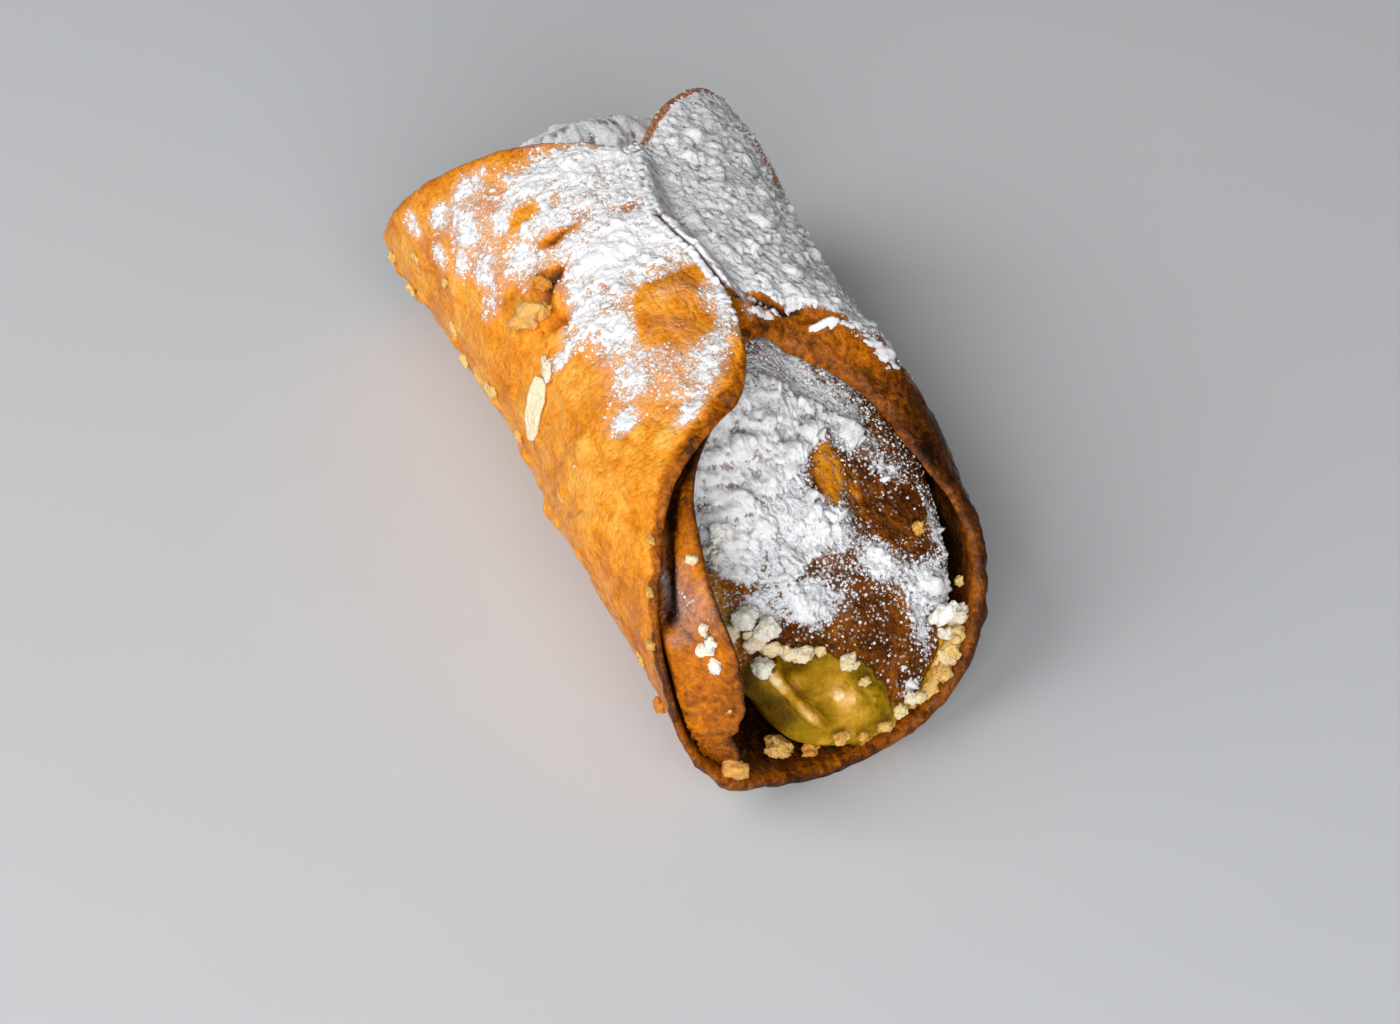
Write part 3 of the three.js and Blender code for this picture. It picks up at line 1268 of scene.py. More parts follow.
@dataclass
class FriedSheet:
    """The lapped sheet of fried dough, with its blisters, wrinkles, cracks and ragged rims."""

    form: SheetForm = field(default_factory=SheetForm)
    outer_rows: int = 150
    inner_rows: int = 50
    rim_rows: int = 4
    edge_round: float = 1.3   # how far from a cut side the sheet thins
    edge_least: float = 0.06  # the share of its thickness that it keeps there
    cut_columns: tuple[float, ...] = (0.0, 0.1, 0.28, 0.55, 0.9, 1.3)  # from a cut side
    rim_rag: float = 0.55
    thin_reach: float = 7.0   # how far from its near edge a flap thins
    # Spans of turn, each with the distance between its columns in millimetres.
    spans: tuple[Triple, ...] = (
        (4, 108, 0.36), (108, 185, 0.8), (185, 252, 0.7), (252, 352, 0.42),
        (352, 386, 1.5), (386, 497, 0.75),
    )
    noise: Noise = field(default_factory=lambda: Noise(11))
    blisters: Bubbles = Bubbles(5, 5.2, (0.7, 2.2), 0.5)
    beads: Bubbles = Bubbles(9, 1.9, (0.35, 0.9), 0.45)

    # The run of a fold down the left side, near the mouth.
    fold: tuple[Pair, ...] = ((108 * ARC, -9.0), (66 * ARC, -30.0))

    # Cracks and pits in the outer side: a dark fissure across the right flap.
    cracks: tuple[Groove, ...] = (
        Groove((351 * ARC, -5.0), (344 * ARC, -7.2), 0.55, 0.8),
        Groove((344 * ARC, -7.2), (334 * ARC, -9.0), 0.5, 1.0),
        Groove((334 * ARC, -9.0), (328 * ARC, -8.2), 0.6, 0.9),
        Groove((50 * ARC, 8.5), (36 * ARC, 11.5), 0.9, 0.7),
        Groove((36 * ARC, 16.0), (24 * ARC, 17.5), 0.7, 0.5),
    )
    # Bumps and hollows of the outer side, and where it is browner or paler.
    lumps: tuple[Patch, ...] = sheet_patches(
        (326, -10.3, 1.7, 1, 10, -1.3), (322, -12.4, 3.4, 0.8, 14, 0.9),
        (304, -12, 2.2, 3.4, 0, 0.7), (243, -47, 1.6, 1, 0, 0.8), (49, 4.2, 2.8, 1.2, 20, -1.3),
        (18, -5, 7, 3.2, 12, 0.7), (105, 49, 1.2, 1, 0, 0.7), (110, 43.5, 1, 1.4, 0, 0.8),
        (100, 26.8, 1.2, 1.5, 0, 0.8), (98, 12, 1.2, 1.6, 0, 0.6), (106, 3, 1.6, 2.2, 0, 0.8),
        (108, -8, 1.4, 2.4, 0, 0.7),
    )
    browner: tuple[Patch, ...] = sheet_patches(
        # The patch at turn 49 is a painted shadow in the dent below the golden crumb.
        (43, 11.6, 3, 1.5, 12, 0.26), (49, 4.4, 2.6, 1.3, 20, 0.24),
        (34, 15.8, 4, 1.1, 10, 0.2), (23, 17.3, 2.6, 0.8, 10, 0.16),
        (7, 13.8, 1.2, 0.9, 0, 0.22), (8, -2.6, 3, 1.5, 10, 0.1), (26, -8, 1.8, 2.6, 0, 0.1),
        (75, 8, 7, 4, 0, 0.07), (84, -14, 7, 3, 0, 0.08), (68, -24, 5, 9, 0, -0.08),
        (60, 52, 18, 3, 0, 0.08), (75, 36, 4, 6, 0, 0.06), (432, -50, 4, 3, 0, 0.08),
    )

    def columns(self) -> Array:
        """Places the sheet's rings, crowded at its two cut sides.

        Returns:
            Their turns.
        """
        rim = np.array(self.cut_columns) / ARC
        runs = [rim]
        for start, stop, gap in self.spans:
            count = max(2, int(round((stop - start) * ARC / gap)))
            runs.append(np.linspace(start, stop, count, endpoint=False))
        runs.append(self.form.end_turn - rim[::-1])
        return np.concatenate(runs)

    def relief(self, turn: Array, along: Array) -> Array:
        """How far the outer side stands out from the smooth form.

        Args:
            turn, along: the place on the sheet.

        Returns:
            The height of blisters, wrinkles, lumps and cracks.
        """
        across = turn * ARC
        noise = self.noise
        broad = noise.layers(across, along, 15.0, 2)
        wrinkles = noise.layers(across * 1.6, along * 0.55, 4.0, 3)
        fine = noise.layers(across + 90.0, along, 1.5, 2)
        fried = rising(-0.25, 0.35, noise.layers(across + 40.0, along - 20.0, 18.0, 2))
        band = self.rim_band(turn, along)
        dents = rising(0.05, 0.55, noise.layers(across - 60.0, along + 15.0, 6.0, 2))
        height = 0.5 * broad + 0.3 * wrinkles + (0.1 + 0.2 * band) * fine - 0.5 * dents
        height += (0.25 + 0.45 * fried) * self.blisters.at(across, along)
        height += (0.08 + 0.16 * fried) * self.beads.at(across, along)
        height += heap(self.lumps, across, along)
        for crack in self.cracks:
            height -= crack.cut(across, along)
        return (height + self.ledge(across, along)) * rising(-0.2, 3.0, across + 0.6)

    def slot(self, turn: Array, along: Array) -> Array:
        """The gap in the lap under the edge of the left flap.

        Args:
            turn, along: the place on the sheet.

        Returns:
            1 in the middle of the gap, 0 away from it.
        """
        reach = within(376, 388, 434, 442, turn)
        under = 2.4 - 0.8 * rising(400, 440, turn)
        return reach * swell(under, 1.3, along - self.form.NEAR(turn - 360.0))

    def closing(self, turn: Array, along: Array) -> Array:
        """How far the tongue's root rises to meet the flap over it, low on the left.

        Args:
            turn, along: the place on the sheet.

        Returns:
            The rise, 0 at the tongue's near edge.
        """
        form = self.form
        from_near = along - form.NEAR(turn)
        flap = np.maximum(form.NEAR(turn - 360.0) - form.NEAR(turn), 0.9)
        reach = within(433, 441, 488, 499, turn)
        bent = form.TONGUE(turn) * np.maximum(0.0, 1.0 - from_near / form.tongue_curl_reach) ** 2
        under = 1.5 * swell(1.0, 0.9, from_near / flap)
        return reach * (bent * rising(0.0, 1.0, from_near / flap) + under)

    def thinning(self, turn: Array, along: Array) -> Array:
        """Share of the thickness that a flap keeps towards its near edge.

        Args:
            turn, along: the place on the sheet.

        Returns:
            1 away from the edge, about a half at the edge of a thin flap.
        """
        left = within(3, 14, 100, 150, turn)
        tongue = rising(378, 395, turn)
        right = 0.35 * rising(235, 275, turn) * falling(330, 350, turn)
        lost = 0.22 + 0.36 * left + 0.4 * tongue - right * 0.22
        return 1.0 - lost * falling(0.0, self.thin_reach, along - self.form.NEAR(turn))

    def ledge(self, across: Array, along: Array) -> Array:
        """The step of the fold that runs slanting down the left side.

        Args:
            across, along: the place on the sheet's map.

        Returns:
            The height of the step.
        """
        share, off = beside_run(*self.fold, across, along)
        reach = within(-0.15, 0.1, 0.7, 1.1, share)
        return 0.7 * reach * rising(0.9, -0.4, off) * rising(-8.0, -0.4, off)

    def rim_band(self, turn: Array, along: Array) -> Array:
        """The dark band that follows the near edge, widest on the right flap.

        Args:
            turn, along: the place on the sheet.

        Returns:
            1 on the band, 0 off it.
        """
        from_near = along - self.form.NEAR(turn)
        right = within(235, 275, 340, 352, turn)
        left = within(2, 9, 45, 75, turn)
        width = 1.0 + 7.0 * right + 1.2 * left
        wander = 1.4 * self.noise.layers(turn * ARC, along, 4.0, 3)
        return falling(0.55, 1.2, (from_near + wander) / width)

    def bake(self, turn: Array, along: Array, inside: Array) -> Array:
        """How brown the dough is painted, painted shade included.

        Args:
            turn, along: the place on the sheet.
            inside: 0 on the outer side, 1 on the inner.

        Returns:
            0 pale to 1 nearly black.
        """
        across = turn * ARC
        noise = self.noise
        # Painted shade, partly browner frying: the right side and the underside are painted
        # browner, most towards the mouth.
        right = within(225, 285, 352, 362, turn)
        under = within(105, 165, 225, 300, turn)
        left = turn < 190
        tucked = rising(352, 372, turn)
        spots = noise.layers(across - 30.0, along, 9.0, 3)
        mouth = rising(2, -34, along)
        brown = 0.38 + 0.13 * spots + (0.14 + 0.15 * mouth) * right + 0.2 * tucked
        brown += (0.18 + 0.1 * mouth) * under
        # Painted shade: the right flank near the mouth is darkened further.
        flank = within(222, 246, 272, 304, turn)
        brown = np.minimum(brown + 0.46 * mouth * flank, 0.86 + 0.1 * spots)
        brown += 0.14 * rising(50, 100, turn) * rising(-14, -50, along) * left
        from_far, from_near = self.form.FAR(turn) - along, along - self.form.NEAR(turn)
        band = self.rim_band(turn, along)
        brown += band * np.where(left, 0.22, np.where(turn < 360, 0.06, 0.02))
        brown += 0.1 * swell(0.0, 1.4, from_far)
        brown += 0.08 * swell(0.0, 0.9, from_near)
        brown -= 0.12 * self.blisters.at(across, along)
        brown += 0.5 * sum(crack.cut(across, along) for crack in self.cracks)
        # Painted shade: the slot under the left flap's edge is painted darker.
        brown = brown + 0.6 * self.slot(turn, along) + heap(self.browner, across, along)
        # Painted shade: the inner side is painted nearly black, a little lighter along the near
        # edge.
        lining = 0.97 + 0.1 * spots - 0.27 * swell(0.0, 2.4, from_near) * (turn < 360)
        return np.clip(brown * (1.0 - inside) + lining * inside, 0.0, 1.0)

    def piece(self, dust: Mask) -> bpy.types.Object:
        """Builds the sheet.

        Args:
            dust: gives the thin sugar at a turn and a place along the roll.

        Returns:
            The mesh object.
        """
        form = self.form
        turn = self.columns()[:, None]
        outer = np.linspace(0.0, 1.0, self.outer_rows + 1)
        inner = np.linspace(1.0, 0.0, self.inner_rows + 1)
        arc = np.arange(1, self.rim_rows + 1) * math.pi / (self.rim_rows + 1)
        share = np.concatenate([outer, np.ones_like(arc), inner, np.zeros_like(arc)])
        beyond = np.concatenate([outer * 0, np.sin(arc), inner * 0, -np.sin(arc)])
        across = np.concatenate(
            [outer * 0, (1 - np.cos(arc)) / 2, inner * 0 + 1, (1 + np.cos(arc)) / 2]
        )
        from_side = np.minimum(turn, form.end_turn - turn) * ARC
        cut = np.clip(1.0 - from_side / self.edge_round, 0.0, 1.0)
        thick = form.dough * np.maximum(self.edge_least, np.sqrt(1.0 - cut**2))
        rag = self.rim_rag * self.noise.layers(turn * ARC, 3.0, 3.4, 3)
        rag_far = self.rim_rag * self.noise.layers(turn * ARC, 60.0, 3.4, 3)
        near = form.NEAR(turn) + rag * np.where(turn < 360, 1.0, 1.3 * (turn > 405))
        near = near + 0.9 * swell(70, 16, turn) + 1.2 * swell(477, 4, turn)
        far = form.FAR(turn) + rag_far * (turn < 360)
        along = near + (far - near) * share + form.rim_bulge * thick * beyond
        turns = np.broadcast_to(turn, along.shape)
        raised = self.relief(turns, along)
        hidden = rising(350, 362, turns)
        raised -= (0.5 + 1.0 * swell(426, 9, turns)) * self.slot(turns, along)
        inner_lift = 0.12 * self.noise.layers(turns * ARC, along, 3.0, 3)
        lift = raised * (1.0 - across) * (1.0 - 0.6 * hidden) + inner_lift * across
        lift += self.closing(turns, along) * (1.0 - across)
        thinned = thick * self.thinning(turns, along) * across
        below = (form.dough - thick) / 2.0 + thinned - lift
        points = form.place(turns, along, below)
        return Surface().add(
            points,
            self.faces(turn.size, along.shape[1]),
            bake=self.bake(turns, along, np.broadcast_to(across, along.shape)),
            dust=dust(turns, along) * (1.0 - across),
            scatter=self.strewn(dust, turns, along) * (across < 0.02),
        ).build("dough_sheet")

    @staticmethod
    def strewn(dust: Mask, turn: Array, along: Array) -> Array:
        """How thickly loose grains lie at a turn and a place, 0 to 1."""
        amount = dust(turn, along) * np.where(turn < 352, 1.0, 0.5)
        return rising(0.12, 0.6, amount) * (1.0 - 0.75 * rising(0.7, 0.95, amount))

    def faces(self, rings: int, size: int) -> list[Array]:
        """The sheet's faces: the wall of rings and a cap at each cut side.

        Args:
            rings: how many rings.
            size: how many points each has.

        Returns:
            Blocks of faces.
        """
        rows, ratio = self.outer_rows, self.outer_rows // self.inner_rows
        row = np.arange(rows)
        far_end = rows + self.rim_rows + 1
        inner = far_end + self.inner_rows - np.arange(self.inner_rows + 1)
        strip = np.stack([row, row + 1, inner[row // ratio]], -1)
        step = np.arange(self.inner_rows)
        back = np.stack([(step + 1) * ratio, inner[step + 1], inner[step]], -1)
        rim = rows + np.arange(self.rim_rows + 1)
        far_fan = np.stack([rim, rim + 1, np.full_like(rim, far_end)], -1)[:-1]
        tip = inner[0] + np.arange(1, self.rim_rows + 1)
        near_fan = np.stack([np.full_like(tip, inner[0]), tip, (tip + 1) % size], -1)
        cap = np.concatenate([strip, back, far_fan, near_fan])
        return [ring_wall(rings, size), cap[:, ::-1], cap + (rings - 1) * size]


@dataclass
class CreamCore:
    """The filling, with its browned skin, its lumps and the custard broken open low down."""

    form: FillingForm = field(default_factory=FillingForm)
    sectors: int = 288
    face_rings: int = 92
    side_rings: int = 24
    far_rings: int = 44
    near_calm: float = 0.93   # share of a face beyond which its relief dies out
    far_calm: float = 0.9
    near_depth: float = 12.0  # how far behind the near face its colours reach
    noise: Noise = field(default_factory=lambda: Noise(23))
    curds: Bubbles = Bubbles(31, 2.3, (0.5, 1.1), 0.6)

    # The near face, on a map of x and height.
    open_custard: tuple[Patch, ...] = patches(
        (-5.6, 10.6, 7.8, 6.4, 0, 1.5), (1.6, 8.6, 5.4, 4.6, 20, 1.3),
        (8.5, 4.6, 5.4, 2.6, 8, 1.3), (14.6, 7.4, 3.6, 2.4, 38, 1.2),
        (18.2, 11.6, 2, 3, -14, 1.2),
    )
    torn_custard: tuple[Patch, ...] = patches(
        (-9, 17.4, 2.6, 1.6, 0, 1), (-3.6, 16, 3.6, 1.2, 0, 1), (1.4, 14.2, 2.6, 1.8, -20, 1),
        (4.6, 9.4, 2.4, 2.2, -30, 1.1), (8.5, 5.2, 5.4, 3, 8, 1.2), (14.6, 7.6, 4, 3, 38, 1.2),
        (18.2, 12, 2.4, 3.4, -14, 1.2), (-0.5, 5.4, 3, 1.6, 0, 0.9),
        (0.6, 9.6, 2.6, 3.2, 0, 0.9), (-8.6, 14.6, 3.2, 1.3, -62, 0.8),
        (-5.2, 10.2, 3.4, 1.2, -48, 0.7),
    )
    swellings: tuple[Patch, ...] = patches(
        (4, 37, 5, 2, 0, 0.8), (-5, 30, 3, 2.2, 0, 0.9), (4.5, 26.5, 3.2, 2, 0, 1.1),
        (-2, 21, 3, 2.2, 0, 1.2), (-8.5, 22.5, 1.8, 2.2, 0, 0.9), (7, 30.4, 1.9, 1.6, 30, 1),
        (11.5, 22, 2.6, 2, 0, 0.9), (17, 18, 3, 2, 0, 1), (8, 15, 5, 4, 0, 0.7),
        (13, 27, 3.4, 1.4, -20, -1.1), (8.5, 27.8, 1.2, 1.6, 20, -1),
        (-0.5, 25.4, 2.2, 0.9, 0, -0.8), (17.2, 14.3, 2.4, 0.8, -10, -1),
        (-3.5, 18.3, 3.4, 1.1, 0, -0.5),
    )
    custard_folds: tuple[Patch, ...] = patches(
        (-8.6, 14.8, 3.4, 1.7, -62, 2.2), (-5.2, 10, 3.6, 1.5, -48, 1.9),
        (-11.2, 9.8, 3, 5, 24, -2.4), (-4.1, 13.5, 2.3, 1.7, 0, -2), (0.6, 9.6, 2.4, 2.8, 0, 1),
        (-2.4, 5.4, 2.4, 1.7, 0, 1), (4.8, 7, 2.4, 1.6, 0, 0.7),
    )
    # Painted highlight on the custard's raised folds and painted shade in its hollows, following
    # custard_folds, with some tone of its own.
    custard_tone_and_fold_shading: tuple[Patch, ...] = patches(
        (-8.8, 15, 3.2, 1.3, -62, 0.55), (-5.4, 10.4, 3.4, 1.1, -48, 0.45),
        (-10.4, 9.8, 3.2, 5, 24, -0.28), (-4.2, 13.4, 2.1, 1.6, 0, -0.12),
        (0.6, 10.4, 2.4, 3, 0, 0.4), (-2.6, 5.2, 2.4, 1.3, 0, 0.24),
        (-6, 7, 3.4, 2.2, -40, 0.1), (-3, 12, 2.4, 3, 0, 0.06), (9, 5.4, 5.6, 2.2, 8, 0.2),
        (15.4, 8.6, 4.6, 2.6, 42, 0.3),
    )
    peel: tuple[Patch, ...] = patches(
        (7, 30.2, 2, 3.3, -18, 1.15), (10.6, 27.4, 1.7, 2, -10, 0.6),
    )
    ruddy: Patch = Patch((-12.6, 20.5), (2.8, 6.0), 0, 0.5)

    def slope(self, mouth: Mouth) -> Array:
        """The outward direction of a slanting face.

        Args:
            mouth: which face.

        Returns:
            A unit vector.
        """
        run, rise = mouth.low - mouth.top, self.form.mouth_low - self.form.mouth_top
        outward = np.array([0.0, rise, -run]) * math.copysign(1.0, -mouth.low)
        if outward[1] * mouth.low < 0:
            outward = -outward
        return outward / np.linalg.norm(outward)

    def opened(self, x: Array, z: Array) -> Array:
        """Where the near face is broken open to the custard, 0 to 1."""
        rag = 0.3 * self.noise.layers(x, z, 2.4, 3)
        return rising(0.46, 0.8, heap(self.open_custard, x, z) + rag)

    @staticmethod
    def up_slope(y: Array, z: Array) -> Array:
        """How far up the slanting near face a point lies."""
        return 0.75 * y + 0.66 * z

    def near_relief(self, x: Array, y: Array, z: Array) -> Array:
        """Relief of the near face.

        Args:
            x, y, z: places across the roll, along it and in height.

        Returns:
            How far the face stands out from its smooth form.
        """
        noise, opened, up = self.noise, self.opened(x, z), self.up_slope(y, z)
        rough = 1.1 * noise.layers(x, up, 5.0, 3) + 0.3 * noise.layers(x + 50.0, up, 1.4, 2)
        rough += 0.5 * self.curds.at(x, up)
        dry = rough + heap(self.swellings, x, z)
        torn = np.clip(heap(self.torn_custard, x, z), 0.0, 1.0)
        wet = -1.4 + 1.0 * rising(0.0, 5.0, x) + 0.5 * noise.layers(x - 40.0, up, 4.0, 3)
        wet += heap(self.custard_folds, x, z)
        wet += 0.22 * noise.layers(x, up + 30.0, 1.2, 2)
        crumbly = 1.0 * self.curds.at(x + 20.0, up) + 0.8 * noise.layers(x, up, 1.6, 4)
        crumbly += 0.5 * self.curds.at(2.0 * x, 2.0 * up)
        wet += torn * (0.9 + crumbly)
        return dry * (1.0 - opened) + wet * opened

    def far_relief(self, x: Array, z: Array) -> Array:
        """Relief of the far face.

        Args:
            x, z: places across the roll and in height.

        Returns:
            How far the face stands out from its smooth form.
        """
        noise = self.noise
        rough = 0.7 * noise.layers(x + 20.0, z + 70.0, 4.6, 3)
        return rough + 0.25 * noise.layers(x, z + 30.0, 1.5, 2) + 0.3 * self.curds.at(x + 33.0, z)

    def face(self, mouth: Mouth, angle: Array, share: Array, lift: Number = 0.0) -> Array:
        """Points of a slanting face with its relief.

        Args:
            mouth: which face.
            angle, share: the place on the face, its share 1 at the rim.
            lift: how far further out they stand.

        Returns:
            The points.
        """
        base = self.form.face(mouth, angle, share)
        x, y, z = np.moveaxis(base, -1, 0)
        out = self.slope(mouth)
        if mouth is self.form.near:
            relief, calm = self.near_relief(x, y, z), self.near_calm
            spread = 0.8 * rising(0.6, 1.0, share)[..., None]
            radial = np.stack([np.sin(angle), 0.0 * angle, np.cos(angle)], axis=-1)
            out = out * (1.0 - spread) + radial * spread
            out /= np.linalg.norm(out, axis=-1, keepdims=True)
        else:
            relief, calm = self.far_relief(x, z), self.far_calm
        rise = relief * falling(calm, 1.0, share) + lift
        return base + out * np.asarray(rise)[..., None]

    def piece(self, dust: Mask) -> bpy.types.Object:
        """Builds the filling.

        Args:
            dust: gives the thin sugar on the near face at x and a height.

        Returns:
            The mesh object.
        """
        angle = -math.pi + 2.0 * math.pi * np.arange(self.sectors) / self.sectors
        near_share = np.linspace(0.0, 1.0, self.face_rings + 1)[1:, None]
        far_share = np.linspace(0.0, 1.0, self.far_rings + 1)[:0:-1, None]
        side_share = np.linspace(0.0, 1.0, self.side_rings + 1)[:, None]
        angles = angle[None, :]
        form = self.form
        near = self.face(form.near, *np.broadcast_arrays(angles, near_share))
        side = form.side(*np.broadcast_arrays(angles, side_share))
        far = self.face(form.far, *np.broadcast_arrays(angles, far_share))
        poles = [self.face(mouth, angle[:1], np.zeros(1)) for mouth in (form.near, form.far)]
        points = np.concatenate([near, side, far]).reshape(-1, 3)
        rings = len(points) // self.sectors
        points = np.concatenate([points, *poles])
        k = np.arange(self.sectors)
        after, last = (k + 1) % self.sectors, (rings - 1) * self.sectors
        near_pole = np.full_like(k, rings * self.sectors)
        fans = np.concatenate([
            np.stack([near_pole, after, k], -1),
            np.stack([near_pole + 1, last + k, last + after], -1),
        ])
        x, y, z = points.T
        faces_near = y < form.plane(form.near, z) + self.near_depth
        opened = self.opened(x, z) * faces_near
        tone = 0.45 + 0.4 * self.noise.layers(x, z + y, 5.0, 2)
        tone += 0.3 * rising(12, 6, z) * (1.0 - opened) * faces_near
        torn = np.clip(heap(self.torn_custard, x, z), 0.0, 1.0)
        curd = self.curds.at(x + 20.0, self.up_slope(y, z))
        # Painted light and shade over the custard folds, with paler curds.
        pale = heap(self.custard_tone_and_fold_shading, x, z) + 0.3 * torn * self.noise.layers(x, z + y, 1.6, 3)
        pale += (0.06 + 0.12 * torn) * curd
        tone += opened * (-0.06 + pale + 0.1 * torn)
        tone += self.ruddy.height(x, z) * (1.0 - opened) * faces_near
        tone += 0.14 * np.clip(heap(self.peel, x, z), 0.0, 1.0) * faces_near
        fringe = 5.0 * self.noise.layers(x, y, 9.0, 3)
        powder = dust(x, z) * faces_near + 0.5 * (y > 30) * rising(10, 30, z + fringe)
        return Surface().add(
            points,
            [ring_wall(rings, self.sectors), fans],
            skin=1.0 - opened,
            peel=np.clip(heap(self.peel, x, z) * faces_near, 0.0, 1.0),
            tone=np.clip(tone, 0.0, 1.0),
            dust=powder,
            scatter=rising(0.02, 0.5, powder) * (1.0 - 0.7 * rising(0.75, 1.0, powder)),
        ).build("custard_core")


@dataclass
class SugarDrifts:
    """Drifts of powdered sugar: crusts of real thickness over the dough and the filling."""

    sheet: FriedSheet
    core: CreamCore
    pitch: float = 0.29       # between the points of a drift's grid
    sunk: float = 0.14        # how far a drift's edge dips under the surface
    root: float = 0.45        # how deep its underside lies
    light: float = 0.6        # the bulk under which a drift is thinner
    light_loss: float = 0.1
    near_grid: tuple[int, int] = (84, 460)
    mound_grid: tuple[int, int, int] = (70, 64, 220)
    mound_angle: float = 1.9  # how far down each side the far drift reaches
    seam_grid: tuple[int, int] = (46, 150)
    seam_turns: Pair = (341.0, 364.5)
    seam_reach: Pair = (-9.0, 31.0)
    noise: Noise = field(default_factory=lambda: Noise(47))
    clumps: Bubbles = Bubbles(61, 1.1, (0.25, 0.54), 0.8)
    lumps: Bubbles = Bubbles(67, 2.7, (0.6, 1.3), 0.6)
    heaps: Bubbles = Bubbles(79, 5.0, (1.2, 2.4), 0.6)
    dots: Bubbles = Bubbles(71, 1.7, (0.25, 0.7), 0.7)

    left_patches: tuple[Patch, ...] = sheet_patches(
        (20, 7.5, 8.5, 7.5, 0, 1.35), (36, -5.5, 3.6, 6.2, -25, 1), (42, 2, 4, 3, 0, 0.7),
        (55, -1.2, 4.2, 1.5, 12, 0.75), (16, 27, 6.2, 6, 0, 1.15), (6, 17.5, 3, 4, 0, 0.8),
        (32, 29, 4.4, 3, 0, 0.75), (31, 20.5, 4.6, 1.8, 10, 0.85), (45, 18, 3, 2.4, 0, 0.75),
        (58, 31.5, 1.9, 3.4, 10, 0.95), (60, 21.8, 1.8, 2.6, 0, 0.95), (46, 26, 1.5, 2, 0, 0.9),
        (66, 27, 1.4, 1.8, 0, 0.8), (72, 33, 1, 2.2, 0, 0.75), (64, 38.5, 1.6, 2, 0, 0.7),
        (50, 37.5, 2.4, 2, 0, 0.7), (76, 44, 1.2, 2.2, 0, 0.65), (3, -8.5, 2, 3.6, 0, 0.85),
        (13, -19, 6.6, 1.9, -50, 0.9), (27, -26.2, 2.6, 1.1, -25, 0.9),
        (46, -20.5, 1.8, 1.4, 0, 0.8), (38, -15, 2.4, 2.4, 0, 0.5), (3, 23, 2.6, 4, 0, 0.8),
        (3, 6, 2.6, 5, 0, 0.8), (50, 12.5, 2, 1.6, 0, 0.6), (66, 17, 2.4, 2, 0, 0.45),
        (20, 8, 12, 14, 0, 0.14), (34, 27, 14, 12, 0, 0.16), (26, -20, 7, 5, -40, 0.12),
    )
    left_bare: tuple[Patch, ...] = sheet_patches(
        (26, -8.2, 2, 3.2, 30, 0.9), (19, -5.6, 3, 2, 30, 0.8), (14, -3.4, 3.4, 1.5, 26, 0.8),
        (6, -2.6, 2, 1.3, 0, 0.6), (17, -12, 4.4, 2.6, 10, 0.22), (32, 16.4, 3.6, 0.9, 8, 0.9),
        (42, 11.6, 4, 1.2, 14, 1), (54, 7, 4.6, 4.2, 0, 1.2), (8, 14.8, 1.9, 1.5, 0, 0.8),
        (40, 24, 2.6, 1.6, 0, 0.7),
    )
    right_patches: tuple[Patch, ...] = sheet_patches(
        (345, -9.3, 2.4, 1, 10, 1), (323, -12.2, 3.4, 0.7, 14, 0.75),
        (306, -17, 4.2, 2.2, 52, 0.62), (312, -12, 2.4, 3, 30, 0.6),
        (331, -6.6, 2.6, 1.3, 0, 0.6), (300, -8, 2, 2.4, 0, 0.5),
    )
    near_face_patches: tuple[Patch, ...] = patches(
        (-3, 35, 8, 2.8, 8, 1.1), (6, 36, 7, 2.4, -14, 1.1), (-8.6, 33, 4.4, 3.4, 0, 1),
        (-9.6, 28.4, 3.4, 4.4, 0, 0.7), (1, 32, 4.6, 2.4, 0, 0.9), (13, 32, 3.6, 2.4, -20, 0.8),
        (-6, 29, 5, 2.6, 0, 1), (3.6, 26.8, 5.6, 2.6, 0, 1.1), (-9.5, 25.2, 2.6, 2.4, 0, 0.95),
        (-3, 24, 3.6, 1.8, 0, 0.6), (-1.6, 20.8, 3.4, 2.4, 0, 1.1),
        (-7.8, 21.4, 2.2, 2, 0, 0.8), (10.6, 22.6, 3.2, 2.4, 0, 0.95),
        (16.4, 18.6, 3.6, 2.4, -30, 0.95), (20.6, 22, 1.5, 3.4, 15, 0.85),
        (18.6, 15.2, 2.4, 1.6, -20, 0.85), (13.6, 14.6, 1.7, 3, 15, 0.65),
        (16.4, 27.4, 2.6, 1.2, -30, 0.6), (10.5, 8.6, 2, 1.2, 20, 0.6),
        (4, 20, 2.4, 1.8, 0, 0.4), (9, 15, 9, 8, 0, 0.24),
    )
    near_face_bare: tuple[Patch, ...] = patches(
        (7.2, 30.4, 2.1, 1.6, 15, 1.4), (11.2, 27.6, 1.8, 2, 10, 0.9),
        (14.5, 24.8, 4.4, 1.9, -12, 1), (17.6, 22.6, 2.6, 1.7, 0, 0.9),
        (7.6, 15, 4.6, 5.6, 0, 0.7), (-10.6, 30, 1.6, 0.8, 0, 0.9),
        (-9.6, 23.4, 2.6, 0.9, 0, 0.7), (-0.6, 23.6, 3.6, 0.9, 12, 0.5),
        (-4.6, 18, 2.4, 1, 0, 0.4), (1.6, 17.6, 2, 1.4, 0, 0.4),
    )

    sifted: tuple[Patch, ...] = sheet_patches(
        (32, -19, 9, 7, 0, 0.22), (52, -16, 5, 9, 0, 0.2), (58, 33, 11, 13, 0, 0.22),
        (80, 42, 7, 12, 0, 0.16), (20, -12, 9, 6, 0, 0.26), (70, -46, 4, 3, 0, 0.2),
        (60, -30, 5, 7, 0, 0.2), (30, 16, 13, 10, 0, 0.14), (14, -4, 6, 5, 0, 0.26),
    )

